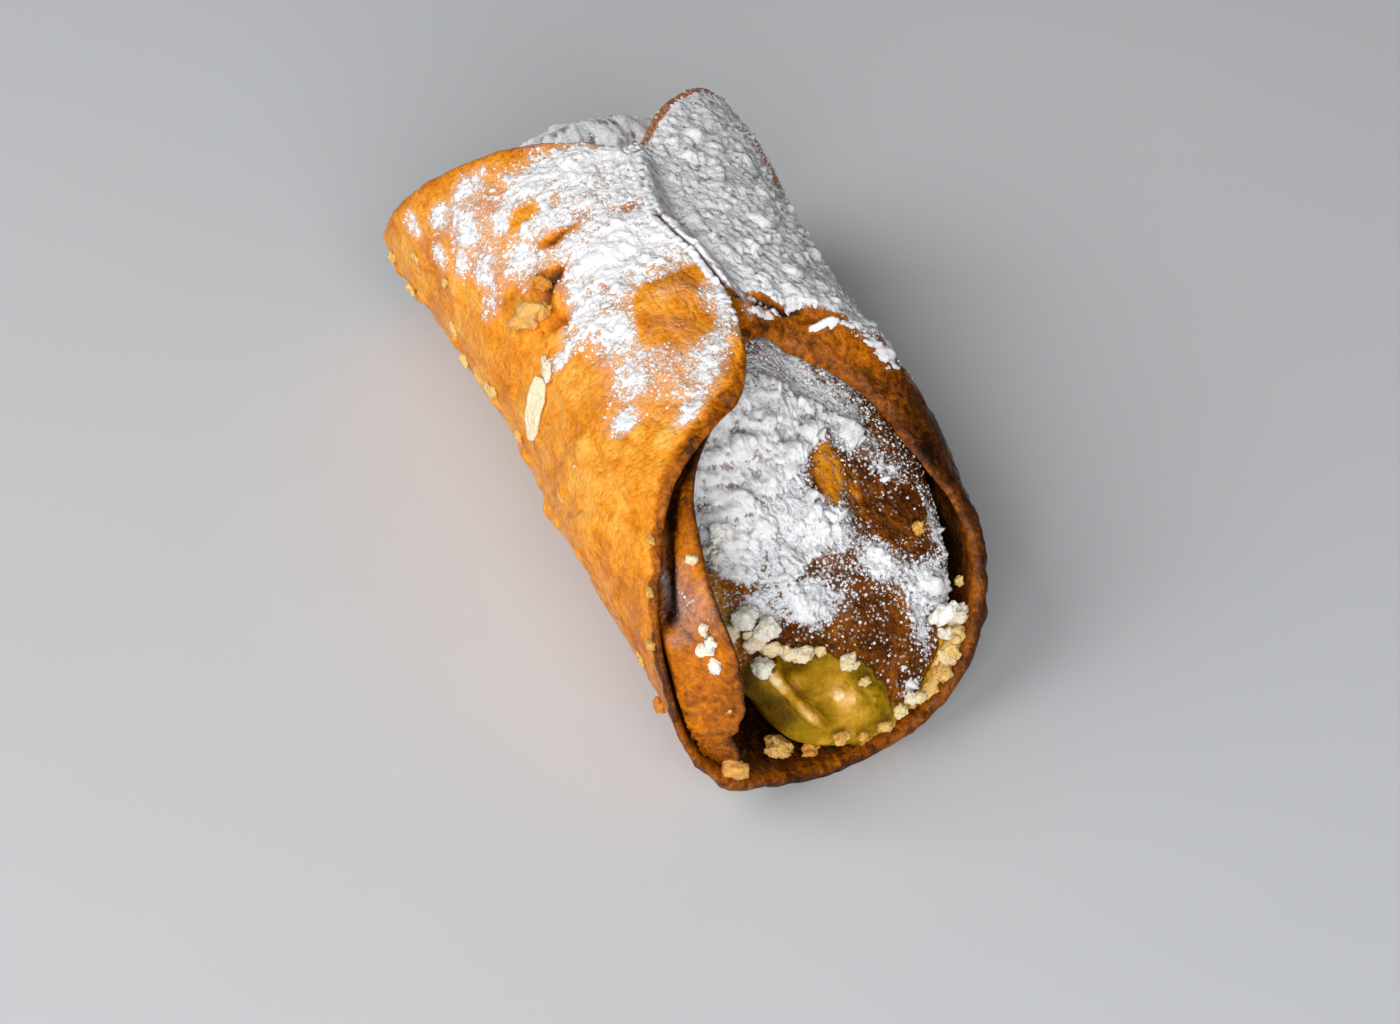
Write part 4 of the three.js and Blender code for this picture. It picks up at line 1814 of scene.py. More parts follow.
    def left_mask(self, turn: Array, along: Array) -> Array:
        """How much sugar lies on the left flap.

        Args:
            turn, along: the place on the sheet.

        Returns:
            Over 0.5 where it drifts.
        """
        across = turn * ARC
        cover = heap(self.left_patches, across, along) - heap(self.left_bare, across, along)
        cover = np.interp(cover, (0.0, 0.14, 0.5, 1.0, 1.5), (0.0, 0.3, 0.5, 0.68, 0.9))
        return cover * falling(80, 105, turn)

    def right_mask(self, turn: Array, along: Array) -> Array:
        """How much sugar lies on the right flap.

        Args:
            turn, along: the place on the sheet.

        Returns:
            Over 0.5 where it drifts.
        """
        across = turn * ARC
        down = rising(285, 322, turn)
        edge = -4.0 - 6.5 * rising(356, 318, turn) - 5.5 * rising(318, 296, turn)
        back = rising(-1.6, 1.8, along - edge)
        from_far = self.sheet.form.FAR(turn) - along
        rim = rising(0.2, 2.0, from_far)
        cover = (0.2 + 0.68 * down) * back * rim
        extra = heap(self.right_patches, across, along)
        pits = on_sheet(326, -10.2, (1.8, 1.0), 10, 1.4).height(across, along)
        return (np.maximum(cover, extra) - pits) * rising(268, 288, turn)

    def near_mask(self, x: Array, z: Array) -> Array:
        """How much sugar lies on the near face; over 0.5 it drifts."""
        cover = heap(self.near_face_patches, x, z) - heap(self.near_face_bare, x, z)
        return cover - 0.9 * self.core.opened(x, z)

    def ragged(self, across: Array, up: Array, mask: Array, lumpiness: float = 0.0) -> Array:
        """A mask with the ragged edge of sifted powder, less its threshold.

        Args:
            across, up: the map's two coordinates.
            mask: the smooth mask.
            lumpiness: how strongly the sugar keeps to its heaps.

        Returns:
            Over 0 where sugar drifts.
        """
        noise = self.noise
        rag = 0.36 * noise.layers(across, up, 5.0, 2)
        rag += 0.6 * noise.layers(across, up + 60.0, 2.2, 4)
        rag += 0.55 * noise.layers(across + 30.0, up, 0.9, 2)
        dots = 0.34 * self.dots.at(across, up) * rising(0.12, 0.35, mask)
        clumped = 0.55 * self.heaps.at(across, up) + 0.3 * self.lumps.at(across, up) - 0.3
        return np.minimum(mask, 1.05) - 0.5 + rag + dots + clumped * lumpiness

    def thickness(self, across: Array, up: Array, over: Array, bulk: float = 1.0) -> Array:
        """How thick the sugar lies where the ragged mask is over 0.

        Args:
            across, up: the map's two coordinates.
            over: the ragged mask.
            bulk: how heavily it is heaped.

        Returns:
            Its thickness, under 0 where there is none.
        """
        noise = self.noise
        body = 0.08 + 0.3 * rising(0.0, 0.6, over)
        lumpy = 0.4 * noise.layers(across + 25.0, up, 2.4, 3)
        lumpy += 0.12 * noise.at(across * 2.2, up * 2.2)
        lumpy = lumpy + 0.3 * self.clumps.at(across, up) + 0.45 * self.lumps.at(across, up)
        lumpy += 1.0 * self.heaps.at(across, up) * rising(0.02, 0.4, over)
        pits = rising(0.36, 0.6, noise.layers(across - 70.0, up, 1.9, 3) - 0.1 * (bulk > 1.2))
        height = np.maximum(body + bulk * lumpy, 0.03) - 1.1 * pits * (over < 0.5)
        return np.where((over > 0.0) & (height > 0.0), height, -self.sunk)

    def drift(
        self,
        name: str,
        chart: tuple[Array, Array],
        cover: Array,
        edge: Array,
        raise_to: Callable[[Array], Array],
        bulk: float = 1.0,
        hollow_shading: float = 1.0,
        lumpiness: float = 0.0,
    ) -> bpy.types.Object:
        """Makes one drift.

        Args:
            name: the piece's name.
            chart: the map coordinates of the points of its grid.
            cover: how much sugar lies at each.
            edge: where it may not lie.
            raise_to: gives the points of the grid, raised by a height.
            bulk: how heavily it is heaped.
            hollow_shading: how strongly shade is painted into its hollows, in the colour of what
                lies under them.
            lumpiness: how strongly it keeps to its heaps.

        Returns:
            The mesh object.
        """
        over = self.ragged(*chart, cover, lumpiness) - self.light_loss * (bulk < self.light)
        height = self.thickness(*chart, np.where(edge, -1.0, over), bulk)
        inside = height > 0.0
        keep = inside[:-1, :-1] | inside[:-1, 1:] | inside[1:, :-1] | inside[1:, 1:]
        top = raise_to(height)
        bottom = raise_to(np.full(height.shape, -self.root))
        if turned_in(top, bottom):
            top, bottom, keep, height = top[::-1], bottom[::-1], keep[::-1], height[::-1]
        points, faces, used = crust(top, bottom, keep)
        level = np.clip(height, 0.0, None)
        # Shade is painted into the hollows between the clumps, and between the heaps.
        relief = 1.1 * (level - blurred(level, 3)) + 0.5 * (level - blurred(level, 9))
        tone = 0.7 - 0.35 * hollow_shading + hollow_shading * relief + 0.55 * rising(0.0, 0.5, level)
        body = np.concatenate([tone.ravel(), np.zeros(height.size)])[used]
        return Surface().add(points, faces, tone=np.clip(body, 0.0, 1.5)).build(name)

    def on_flap(self, name: str, turns: Pair, reach: Pair,
                mask: Mask, bulk: float) -> bpy.types.Object:
        """Makes the drift on one flap of the sheet.

        Args:
            name: the piece's name.
            turns: the span of turns that it may cover.
            reach: the span along the roll.
            mask: how much sugar lies where.
            bulk: how heavily it is heaped.

        Returns:
            The mesh object.
        """
        columns = int((turns[1] - turns[0]) * ARC / self.pitch)
        rows = int((reach[1] - reach[0]) / self.pitch)
        turn, along = grid(np.linspace(*turns, columns), np.linspace(*reach, rows))
        form, relief = self.sheet.form, self.sheet.relief(turn, along)
        inside = (along > form.NEAR(turn) + 0.9) & (along < form.FAR(turn) - 0.5)
        return self.drift(
            name, (turn * ARC, along), mask(turn, along), ~inside,
            lambda lift: form.place(turn, along, -(relief + lift)),
            # A heavy drift, as on the right flap, gets more painted shade in its hollows than a
            # light one.
            bulk, 0.4 + 0.35 * (bulk > self.light),
        )

    def on_near_face(self) -> bpy.types.Object:
        """Makes the drift on the near face of the filling.

        Returns:
            The mesh object.
        """
        rings, sectors = self.near_grid
        shares, angles = np.linspace(0.02, 0.985, rings), np.linspace(-math.pi, math.pi, sectors)
        share, angle = grid(shares, angles)
        core, mouth = self.core, self.core.form.near
        x, y, z = np.moveaxis(core.face(mouth, angle, share), -1, 0)
        return self.drift(
            "sugar_mouth", (x, core.up_slope(y, z)), self.near_mask(x, z),
            np.abs(angle) > math.pi - 0.02,
            lambda lift: core.face(mouth, angle, share, lift),
            bulk=1.5, hollow_shading=0.6, lumpiness=0.9,
        )

    def on_far_mound(self) -> bpy.types.Object:
        """Makes the drift over the filling's far end, from its side to its face.

        Returns:
            The mesh object.
        """
        side_rows, face_rows, columns = self.mound_grid
        angle = np.linspace(-self.mound_angle, self.mound_angle, columns)
        over_side = np.linspace(0.62, 0.98, side_rows)[:, None]
        over_face = np.linspace(1.0, 0.12, face_rows)[:, None]
        core, angles = self.core, angle[None, :]
        side = core.form.side(*np.broadcast_arrays(angles, over_side))
        face = core.face(core.form.far, *np.broadcast_arrays(angles, over_face))
        base = np.concatenate([side, face])
        outward = np.cross(np.gradient(base, axis=1), np.gradient(base, axis=0))
        middle = np.array([0.0, 20.0, 15.0])
        outward *= np.sign(np.sum(outward * (base - middle), axis=-1, keepdims=True))
        outward /= (np.linalg.norm(outward, axis=-1, keepdims=True) + 1e-9)
        x, y, z = np.moveaxis(base, -1, 0)
        fringe = 5.0 * self.noise.layers(x, y, 9.0, 3)
        rows = np.arange(len(base))[:, None]
        return self.drift(
            "sugar_far_mouth", (x + 80.0, y - z), 1.1 * rising(20, 34, z + fringe),
            (np.abs(angles) > self.mound_angle - 0.04) | (rows < 2) | (rows > len(base) - 3),
            lambda lift: base + outward * lift[..., None],
        )

    def over_seam(self) -> bpy.types.Object:
        """Makes the sugar that fills the step where the left flap ends on the right one.

        Returns:
            The mesh object.
        """
        form = self.sheet.form
        spans = zip((self.seam_turns, self.seam_reach), self.seam_grid)
        turn, along = grid(*(np.linspace(*span, count) for span, count in spans))
        on_left = turn - 360.0
        low = form.depth(turn, along - form.NEAR(turn)) - self.sheet.relief(turn, along)
        high = -self.sheet.relief(np.maximum(on_left, 0.0), along)
        step = rising(350.5, 359.6, turn)
        down = low + (high - low) * step - 0.25 * swell(357, 6, turn)
        across = on_left * ARC
        open_crack = swell(0.05, 0.32, across) * rising(13.5, 9.0, along)
        (first, last), (near, far) = self.seam_turns, self.seam_reach
        ends = within(near, near + 5.0, far - 5.0, far - 0.5, along)
        sides = within(first, first + 5.0, last - 3.0, last, turn)
        cover = 1.25 * ends * sides - 1.6 * open_crack
        cover -= on_sheet(6.5, 14.0, (2.0, 1.5), 0, 1.4).height(across, along)
        edge = (turn < first + 0.5) | (turn > last - 0.5) | (open_crack > 0.5)
        edge = edge | (along < near + 0.4) | (along > far - 0.4)
        angle = -np.radians(turn + form.SEAM(along) * (turn > 0))
        return self.drift(
            "sugar_seam", (across + 13.0, along), np.minimum(cover, 0.9), edge,
            lambda lift: form.roll.point(angle, along, down - lift), bulk=self.light,
        )

    def dust_on_sheet(self, turn: Array, along: Array) -> Array:
        """Thin sugar round the drifts on the dough.

        Args:
            turn, along: the place on the sheet.

        Returns:
            0 for none to 1 for a film.
        """
        left = self.left_mask(turn, along)
        right = self.right_mask(turn, along)
        across = turn * ARC
        sifted = heap(self.sifted, across, along)
        band = self.sheet.rim_band(turn, along)
        on_left = rising(0.05, 0.95, left + sifted) * 0.86
        side = 0.34 * rising(268, 305, turn) * (1.0 - band)
        on_right = np.maximum(0.85 * rising(0.05, 0.7, right) * (1.0 - 0.7 * band), side)
        tongue = on_sheet(428, -45.0, (5.0, 8.0), 0, 0.42).height(across, along)
        tongue = tongue * rising(408, 418, turn) * (1.0 - self.sheet.slot(turn, along))
        return np.where(turn < 180, on_left, np.where(turn < 352, on_right, tongue))

    def dust_on_core(self, x: Array, z: Array) -> Array:
        """Thin sugar round the drifts on the near face.

        Args:
            x, z: places across the roll and in height.

        Returns:
            0 for none to 1 for a film.
        """
        bare = np.clip(heap(self.near_face_bare, x, z), 0.0, 1.0)
        film = np.clip(self.near_mask(x, z), 0.0, 1.0)
        film += 0.18 * rising(6, 14, z) * (1.0 - 0.5 * bare)
        return np.clip(film, 0.0, 1.0) * (1.0 - self.core.opened(x, z))


@dataclass(frozen=True)
class Chunk:
    """A broken bit that lies on the sheet or on the filling.

    Attributes:
        at: turn and place along the roll on the sheet; x and height on the near face.
        size: its half sizes across, along and outwards.
        spin: how far it is turned about the outward direction, in degrees.
        tone: 0 for pale cream to 1 for brown.
        lift: how far its middle stands out from the surface.
    """

    at: Pair
    size: Triple
    spin: float = 0.0
    tone: float = 0.4
    lift: float = 0.3


def chunks(*rows: Sequence[float]) -> tuple[Chunk, ...]:
    """Bits from rows of a place, half sizes, a spin, a tone and a lift."""
    return tuple(Chunk(row[:2], row[2:5], *row[5:]) for row in rows)


@dataclass
class Crumbs:
    """Loose bits: golden crumbs and an almond flake on the dough, curds on the filling."""

    sheet: FriedSheet
    core: CreamCore
    noise: Noise = field(default_factory=lambda: Noise(83))
    flake_grid: tuple[int, int] = (32, 12)
    lumps: int = 3            # in each bit
    breaks: int = 6           # in each lump
    break_at: Pair = (0.55, 0.85)   # from its middle, in radii
    aside: Pair = (0.5, 0.85)       # of the second lump and the third
    smaller: Pair = (0.4, 0.7)
    face_radius: float = 20.0
    flake_ends: tuple[Pair, ...] = ((65.0, -0.8), (86.0, -3.4))
    flake_half: Pair = (1.7, 0.25)  # half its width, half its thickness
    flake_tone: float = 0.16

    on_dough: tuple[Chunk, ...] = chunks(
        (53, 8.4, 3.4, 2, 1.9, -45, 0.44, 1), (57, 8.8, 2.6, 1.8, 1.3, -30, 0.5, 0.7),
        (50.6, 6.8, 2, 1.5, 1.6, -45, 0.52, 0.8), (44, 11.6, 2.2, 0.9, 0.7, -70, 0.66, 0.1),
        (61.5, -0.4, 0.9, 1.9, 0.5, -28, 0.12, 0.4), (101, 50, 1, 0.9, 0.7, 0, 0.42, 0.2),
        (104, 43.6, 1, 1.2, 0.7, 0, 0.34, 0.2), (103, 24, 1.3, 1.8, 0.6, 20, 0.3, 0.3),
        (93, 26.8, 1.1, 1, 0.6, 0, 0.36, 0.2), (92, 11.8, 1.1, 1.4, 0.6, 0, 0.36, 0.2),
        (97, 3, 0.8, 1.1, 0.6, 0, 0.45, 0.2), (84, 40, 0.9, 1, 0.5, 0, 0.4, 0.1),
        (78, 30, 0.8, 0.8, 0.4, 0, 0.44, 0.1), (69, -44.2, 0.7, 0.9, 0.6, 0, 0.55, 0.2),
        (82, -48.6, 0.8, 1, 0.7, 30, 0.5, 0.3), (58, -39.2, 0.6, 1.1, 0.5, 0, 0.5, 0.2),
        (99, -44, 0.6, 1, 0.5, 0, 0.45, 0.3), (108, -49.3, 0.9, 1.2, 0.9, 0, 0.72, 0.5),
        (415, -43.4, 0.8, 0.8, 0.7, 0, 0.18, 0.4), (432, -53, 1.2, 1, 0.9, 20, 0.04, 0.7),
        (437, -52.2, 1, 1.3, 0.9, -20, 0.12, 0.7), (441, -54.4, 1.1, 1.5, 0.9, 40, 0.06, 0.6),
        (428, -51.6, 0.9, 0.7, 0.7, 0, 0.1, 0.5), (450, -55.2, 0.6, 1.2, 0.5, 10, 0.48, 0.2),
        (457, -55.8, 0.7, 1.4, 0.5, -20, 0.44, 0.2), (462, -56.6, 1.1, 1, 0.6, 20, 0.42, 0.2),
        (468, -56.4, 0.9, 1.1, 0.6, 0, 0.5, 0.2),
    )
    on_lining: tuple[Chunk, ...] = chunks(
        (131, -58.2, 1.9, 1.7, 1.7, 20, 0.52, -0.4),
        (199, -50.8, 2.3, 1.6, 1.5, 10, 0.46, -0.5),
        (204, -50.4, 2.1, 1.7, 1.6, -20, 0.34, -0.7),
        (209, -50.8, 2.2, 1.6, 1.6, 30, 0.48, -0.6), (214, -50.6, 2.1, 1.8, 1.7, 0, 0.38, -0.7),
        (218, -49.8, 2, 1.6, 1.6, 15, 0.5, -0.6), (222, -50.4, 2, 1.5, 1.5, -30, 0.42, -0.5),
        (226, -49.2, 2, 1.6, 1.6, 0, 0.22, -0.7), (230, -49, 1.8, 1.5, 1.4, 40, 0.36, -0.5),
        (234, -47.6, 1.8, 1.5, 1.4, -10, 0.3, -0.6), (238, -46.2, 1.9, 1.5, 1.5, 0, 0.14, -0.7),
        (157, -52.4, 2, 1.7, 1.4, 20, 0.46, -0.9), (168, -53.2, 1.5, 1.2, 1.2, -25, 0.58, -0.7),
        (187, -53.6, 1.1, 0.9, 0.8, 10, 0.64, -0.4), (178, -52, 0.7, 0.6, 0.6, 10, 0.5, -0.4),
        (248, -42.4, 0.9, 0.7, 0.6, 10, 0.3, -0.4),
    )
    on_face: tuple[Chunk, ...] = chunks(
        (-10.4, 20.2, 1.9, 1.7, 1.6, 15, 0.03, 1.7), (-8, 19.2, 1.8, 1.6, 1.5, -20, 0.05, 1.5),
        (-10.2, 17.8, 1.6, 1.3, 1.2, 35, 0.14, 1.2), (-12.4, 19, 1.3, 1.3, 1, 0, 0.16, 0.8),
        (-7.8, 17, 1.5, 1.1, 0.9, 0, 0.2, 0.8), (-9.4, 15.2, 1.9, 1.3, 1.2, -35, 0.06, 0.9),
        (-6, 16.9, 1, 0.8, 0.7, 0, 0.24, 0.6), (-4.4, 16.2, 1.9, 1.3, 1.1, 20, 0.16, 0.8),
        (-1.4, 16.2, 0.9, 0.7, 0.6, 0, 0.26, 0.5), (1.6, 14.2, 1.5, 1.2, 0.9, 15, 0.2, 0.6),
        (3.6, 12, 0.9, 0.8, 0.6, 0, 0.3, 0.4), (10.6, 8.2, 1.2, 0.8, 0.8, 20, 0.24, 0.4),
        (-1.7, 6.8, 1.2, 0.9, 0.8, -10, 0.5, 0.3), (1.6, 6.6, 0.9, 0.6, 0.6, 20, 0.55, 0.2),
        (4.6, 6.9, 1.2, 0.8, 0.7, 0, 0.45, 0.3), (7.4, 7.6, 1.2, 0.9, 0.7, 25, 0.24, 0.4),
        (9.4, 8.6, 1.1, 0.9, 0.7, -15, 0.12, 0.4), (18.2, 14.8, 1.9, 1.6, 1.3, 0, 0, 0.9),
        (16.8, 13.2, 1.1, 0.9, 0.8, 40, 0.1, 0.7), (17.2, 23, 1.1, 0.9, 0.8, 20, 0.5, 0.7),
        (-10.6, 27.8, 1.3, 1.2, 1.1, 10, 0, 2), (-9, 28.3, 1.2, 1, 1, -20, 0, 2.1),
        (-11, 25.6, 1.1, 1.1, 1, 0, 0.02, 1.9), (-12.2, 26.6, 1, 1, 0.9, 0, 0.04, 1.7),
    )

    def body(self, chunk: Chunk, seed: int) -> tuple[Array, Array]:
        """A jagged bit about the origin: balls cut by flat breaks and roughened.

        Args:
            chunk: which bit.
            seed: the number that fixes its breaks.

        Returns:
            Its points and its three-cornered faces.
        """
        ball = bmesh.new()
        bmesh.ops.create_icosphere(ball, subdivisions=3, radius=1.0)
        whole = np.array([vertex.co[:] for vertex in ball.verts])
        faces = np.array([[vertex.index for vertex in face.verts] for face in ball.faces])
        ball.free()
        rng = np.random.default_rng(seed)
        blocks = []
        for lump in range(self.lumps):
            points = whole
            for _ in range(self.breaks):
                normal = rng.normal(size=3)
                normal /= np.linalg.norm(normal)
                over = np.clip(points @ normal - rng.uniform(*self.break_at), 0.0, None)
                points = points - over[:, None] * normal
            shift = rng.uniform(0.0, 60.0, 3)
            x, y, z = points.T * 1.5 + shift[:, None]
            rough = 0.42 * self.noise.at(x, y, z) + 0.3 * self.noise.at(2.4 * x, 2.4 * y, 2.4 * z)
            points = points * (1.0 + rough + 0.2 * self.noise.at(6 * x, 6 * y, 6 * z))[:, None]
            if lump:
                turn, reach = rng.uniform(0.0, 2.0 * math.pi), rng.uniform(*self.aside)
                aside = np.array([math.cos(turn) * reach, math.sin(turn) * reach, 0.0])
                points = points * rng.uniform(*self.smaller) + aside
            blocks.append(points * np.array(chunk.size))
        count = len(whole)
        wholes = np.concatenate([faces + count * lump for lump in range(self.lumps)])
        return np.concatenate(blocks), wholes

    @staticmethod
    def settled(points: Array, chunk: Chunk, place: Callable[[float, float], Array]) -> Array:
        """Stands a bit on a surface.

        Args:
            points: its points about the origin.
            chunk: which bit.
            place: gives the surface's point at the surface's two coordinates.

        Returns:
            The points in the roll's frame.
        """
        u, v = chunk.at
        here, step = place(u, v), 0.5
        right = place(u + step, v) - place(u - step, v)
        up = place(u, v + step) - place(u, v - step)
        right /= np.linalg.norm(right)
        out = np.cross(right, up)
        out /= np.linalg.norm(out)
        inside = np.array([0.0, here[1] * 0.6, 20.0])
        if out @ (here - inside) < 0.0:
            out = -out
        up = np.cross(out, right)
        c, s = math.cos(math.radians(chunk.spin)), math.sin(math.radians(chunk.spin))
        axes = np.stack([right * c + up * s, up * c - right * s, out])
        return here + out * chunk.lift + points @ axes

    def dough_at(self, turn: float, along: float) -> Array:
        """A point of the dough's outer side."""
        lift = self.sheet.relief(np.array([turn]), np.array([along]))
        return self.sheet.form.place(np.array([turn]), np.array([along]), -lift)[0]

    def lining_at(self, turn: float, along: float) -> Array:
        """A point of the dough's inner side."""
        form = self.sheet.form
        return form.place(np.array([turn]), np.array([along]), form.dough)[0]

    def face_at(self, x: float, z: float) -> Array:
        """A point of the filling's near face.

        Args:
            x, z: its places across the roll and in height.

        Returns:
            The point, on the face's relief.
        """
        form = self.core.form
        share = math.hypot(x - form.middle[0], z - form.middle[1]) / self.face_radius
        along = form.plane(form.near, np.array(z)) - form.near.dome * (1.0 - share**2)
        base = np.array([x, float(along), z])
        lift = self.core.near_relief(*base[:, None])[0]
        return base + self.core.slope(form.near) * lift

    def piece(self, name: str, chunks: Sequence[Chunk],
              place: Callable[[float, float], Array], seed: int) -> bpy.types.Object:
        """Builds the bits of one surface as one mesh.

        Args:
            name: the piece's name.
            chunks: the bits.
            place: gives the surface's point at the surface's two coordinates.
            seed: the number that fixes the breaks of the first.

        Returns:
            The mesh object.
        """
        surface = Surface()
        for number, chunk in enumerate(chunks):
            points, faces = self.body(chunk, seed + number)
            settled = self.settled(points, chunk, place)
            surface.add(settled, [faces], tone=np.full(len(settled), chunk.tone))
        return surface.build(name)

    def flake(self) -> bpy.types.Object:
        """Builds the thin almond flake that stands on the left flank.

        Returns:
            The mesh object.
        """
        (first, start), (last, stop) = self.flake_ends
        half_width, half_thick = self.flake_half
        rows, columns = self.flake_grid
        share, side = grid(np.linspace(0, 1, rows + 1), np.linspace(-1, 1, columns + 1))
        turn, along = first + (last - first) * share, start + (stop - start) * share
        oval = np.sqrt(np.clip(1.0 - (2.0 * share - 1.0) ** 2, 0.0, None))
        width = half_width * oval**0.8 + 0.05
        along = along + width * side + 0.25 * self.noise.layers(share * 8.0, side * 2.0, 2.0, 2)
        rise = 0.35 + 0.5 * (side + 1.0) / 2.0
        rise += 0.15 * self.noise.layers(share * 9.0, side, 3.0, 2)
        rise += self.sheet.relief(turn, along) * 0.7
        place = self.sheet.form.place
        top, bottom = (place(turn, along, -rise - out) for out in (half_thick, -half_thick))
        if turned_in(top, bottom):
            top, bottom = top[::-1], bottom[::-1]
        points, faces, _ = crust(top, bottom, np.ones(self.flake_grid, bool))
        tone = np.full(len(points), self.flake_tone)
        return Surface().add(points, faces, tone=tone).build("almond_flake")


@dataclass(frozen=True)
class Grains:
    """Loose grains, scattered over a mesh by its painted layer as Geometry Nodes instances.

    Attributes:
        name: the piece's name.
        density: how many to a square metre where the layer is 1.
        smallest: the least radius, in millimetres.
        largest: the greatest radius.
        seed: the number that fixes them.
        skew: how strongly the small sizes prevail.
        any_spin: the largest turn about each axis, in radians.
    """

    name: str
    density: float
    smallest: float
    largest: float
    seed: int
    skew: float = 2.5
    any_spin: Triple = (6.28, 6.28, 6.28)

    def group(self, material: bpy.types.Material) -> bpy.types.NodeTree:
        """Builds the node group.

        Args:
            material: the grains' finish.

        Returns:
            The group.
        """
        group = bpy.data.node_groups.new(self.name, "GeometryNodeTree")
        sockets = {"Surface": "Geometry", "Density": "Float", "Smallest": "Float",
                   "Largest": "Float", "Seed": "Int"}
        for name, kind in sockets.items():
            group.interface.new_socket(name, in_out="INPUT", socket_type=f"NodeSocket{kind}")
        group.interface.new_socket("Grains", in_out="OUTPUT", socket_type="NodeSocketGeometry")
        node = Tree(group).node
        given = node("NodeGroupInput").outputs
        seeded = {"Seed": given["Seed"]}
        layer = node("GeometryNodeInputNamedAttribute", {"data_type": "FLOAT"},
                     {"Name": Layer.SCATTER.value}).outputs["Attribute"]
        spread = node("ShaderNodeMath", {"operation": "MULTIPLY"}, {0: layer, 1: given["Density"]})
        points = node("GeometryNodeDistributePointsOnFaces", {},
                      {"Mesh": given["Surface"], "Density": spread.outputs[0], **seeded})
        spin = node("FunctionNodeRandomValue", {"data_type": "FLOAT_VECTOR"},
                    {1: self.any_spin, **seeded})
        size = node("FunctionNodeRandomValue", {"data_type": "FLOAT"}, {2: 0.0, 3: 1.0, **seeded})
        skew = node("ShaderNodeMath", {"operation": "POWER"}, {0: size.outputs[1], 1: self.skew})
        radius = node("ShaderNodeMapRange", {}, {
            "Value": skew.outputs[0], "To Min": given["Smallest"], "To Max": given["Largest"],
        })
        ball = node("GeometryNodeMeshIcoSphere", {}, {"Radius": 1.0, "Subdivisions": 1})
        placed = node("GeometryNodeInstanceOnPoints", {}, {
            "Points": points.outputs["Points"], "Instance": ball.outputs["Mesh"],
            "Rotation": spin.outputs[0], "Scale": radius.outputs[0],
        })
        real = node("GeometryNodeRealizeInstances", {}, {"Geometry": placed.outputs[0]})
        finish = {"Geometry": real.outputs[0], "Material": material}
        done = node("GeometryNodeSetMaterial", {}, finish)
        node("NodeGroupOutput", {}, {0: done.outputs[0]})
        return group

    def over(self, surface: bpy.types.Object, material: bpy.types.Material) -> bpy.types.Object:
        """Scatters the grains over a mesh and keeps them as a plain mesh.

        Args:
            surface: the object whose mesh and painted layer are used.
            material: the grains' finish.

        Returns:
            The new object, its modifier removed.
        """
        carrier = in_scene(self.name, surface.data.copy())
        modifier = carrier.modifiers.new("grains", "NODES")
        modifier.node_group = self.group(material)
        values = {
            "Density": self.density, "Smallest": self.smallest * MM,
            "Largest": self.largest * MM, "Seed": self.seed,
        }
        for socket in modifier.node_group.interface.items_tree:
            if socket.name in values:
                modifier[socket.identifier] = values[socket.name]
        grown = carrier.evaluated_get(bpy.context.evaluated_depsgraph_get())
        mesh = bpy.data.meshes.new_from_object(grown)
        carrier.modifiers.remove(modifier)
        carrier.data = mesh
        mesh.name = self.name
        tone = mesh.attributes.get(Layer.TONE.value) or mesh.attributes.new(
            Layer.TONE.value, "FLOAT", "POINT"
        )
        tone.data.foreach_set("value", np.ones(len(mesh.vertices), np.float32))
        return carrier


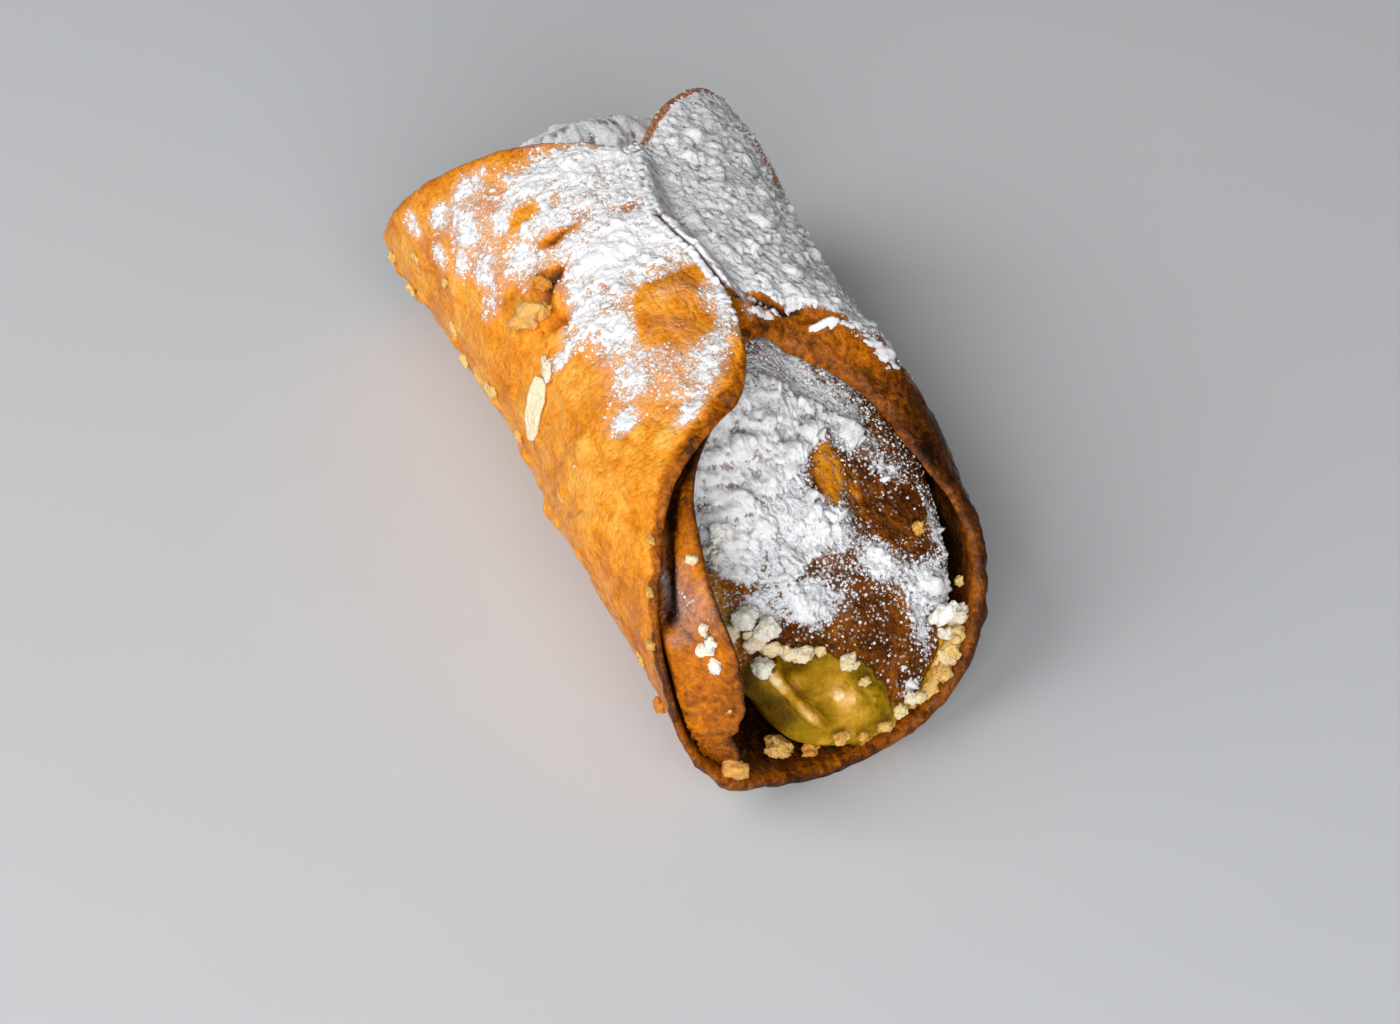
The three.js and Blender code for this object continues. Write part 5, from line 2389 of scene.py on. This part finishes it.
@dataclass(frozen=True)
class Studio:
    """The floor, the lights and the camera."""

    floor_size: float = 3.0
    lamp_distance: float = 1.1
    lamp_size: float = 0.9
    eye: Triple = (-134.4, -319.7, 320.5)
    target: Triple = (-4.8, -14.3, 13.3)
    lens: float = 82.08
    roll: float = 0.95
    film_width: float = 36.0
    nearest: float = 0.01

    def floor(self) -> bpy.types.Object:
        """Lays the floor.

        Returns:
            The floor.
        """
        half = self.floor_size / 2.0
        mesh = bpy.data.meshes.new("floor")
        corners = [(-half, -half, 0.0), (half, -half, 0.0), (half, half, 0.0), (-half, half, 0.0)]
        mesh.from_pydata(corners, [], [(0, 1, 2, 3)])
        floor = in_scene("floor", mesh)
        mesh.materials.append(Tabletop().material())
        floor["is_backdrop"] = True
        return floor

    @staticmethod
    def facing(eye: Vector, target: Vector) -> Matrix:
        """The place of a lamp or a camera at eye that looks at target."""
        turned = (eye - target).to_track_quat("Z", "Y").to_matrix().to_4x4()
        return Matrix.Translation(eye) @ turned

    def lamp(self, name: str, towards: Triple, watts: float,
             colour: Colour) -> bpy.types.Object:
        """Hangs a square soft light that faces the roll.

        Args:
            name: the light's name.
            towards: the direction from the roll to the light.
            watts: its power.
            colour: its colour.

        Returns:
            The light.
        """
        light = bpy.data.lights.new(name, "AREA")
        light.size = self.lamp_size
        light.energy = watts
        light.color = colour
        lamp = in_scene(name, light)
        place = Vector(towards).normalized() * self.lamp_distance
        lamp.matrix_world = self.facing(place, Vector())
        return lamp

    def sky(self, colour: Colour, strength: float) -> None:
        """Fills the room with soft light.

        Args:
            colour: its colour.
            strength: how strong it is.
        """
        world = bpy.data.worlds.new("room")
        world.use_nodes = True
        background = world.node_tree.nodes["Background"]
        background.inputs["Color"].default_value = (*colour, 1.0)
        background.inputs["Strength"].default_value = strength
        bpy.context.scene.world = world

    def camera(self) -> bpy.types.Object:
        """Sets up the camera.

        Returns:
            The camera.
        """
        camera = bpy.data.cameras.new("camera")
        camera.lens = self.lens
        camera.sensor_width = self.film_width
        camera.clip_start = self.nearest
        thing = in_scene("camera", camera)
        facing = self.facing(Vector(self.eye) * MM, Vector(self.target) * MM)
        thing.matrix_world = facing @ Matrix.Rotation(math.radians(self.roll), 4, "Z")
        bpy.context.scene.camera = thing
        return thing

    def build(self) -> None:
        """Sets up the whole studio."""
        self.floor()
        self.lamp("window", towards=(-0.74, 0.10, 0.67), watts=8.7, colour=(1.0, 0.99, 0.97))
        self.lamp("front_fill", towards=(-0.29, -0.80, 0.47), watts=12.5, colour=(1.0, 0.99, 0.98))
        self.sky(colour=(0.94, 0.97, 1.0), strength=0.05)
        self.camera()
        bpy.context.scene.view_settings.view_transform = "Standard"


def corners(box: tuple[Vector, Vector]) -> list[list[float]]:
    """A box's two corners as plain lists."""
    return [[round(value, 6) for value in corner] for corner in box]


def main() -> None:
    """Loads the frame, builds the pieces in order and dresses them."""
    logging.basicConfig(level=logging.INFO, format="%(name)s %(message)s")
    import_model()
    solids = corners(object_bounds())

    sheet, core = FriedSheet(), CreamCore()
    drifts = SugarDrifts(sheet, core)
    sugar = PowderSugar().material()
    bright = PowderSugar("bright_sugar", thin=tint(232, 206, 184)).material()
    dough = dress(
        sheet.piece(drifts.dust_on_sheet), Slot.SHELL, FriedDough().material(), ["shell"]
    )
    cream = dress(
        core.piece(drifts.dust_on_core), Slot.FILLING, BrownedCream().material(), ["filling"]
    )
    dress(
        drifts.on_flap(
            "sugar_left", turns=(0.3, 100.0), reach=(-32.0, 54.0), mask=drifts.left_mask, bulk=0.45
        ),
        Slot.SUGAR, bright,
    )
    for piece in (
        drifts.on_flap(
            "sugar_right", turns=(270.0, 353.0), reach=(-24.0, 53.0), mask=drifts.right_mask,
            bulk=0.75,
        ),
        drifts.over_seam(),
        drifts.on_near_face(),
        drifts.on_far_mound(),
    ):
        dress(piece, Slot.SUGAR, sugar)
    dough_grains = Grains("grains_on_dough", density=3.2e6, smallest=0.07, largest=0.26, seed=3)
    dress(dough_grains.over(dough, bright), Slot.SUGAR, bright)
    cream_grains = Grains("grains_on_filling", density=2.8e6, smallest=0.09, largest=0.28, seed=8)
    dress(cream_grains.over(cream, sugar), Slot.SUGAR, sugar)

    crumbs, crumb = Crumbs(sheet, core), Crumb().material()
    for piece in (
        crumbs.piece("crumbs_on_dough", crumbs.on_dough, crumbs.dough_at, seed=1500),
        crumbs.piece("crumbs_in_mouth", crumbs.on_lining, crumbs.lining_at, seed=1500),
        crumbs.piece("curds_on_filling", crumbs.on_face, crumbs.face_at, seed=1540),
        crumbs.flake(),
    ):
        dress(piece, Slot.CRUMBS, crumb)

    Studio().build()
    {"solids": solids, "pieces": corners(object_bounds())}


if __name__ == "__main__":
    main()
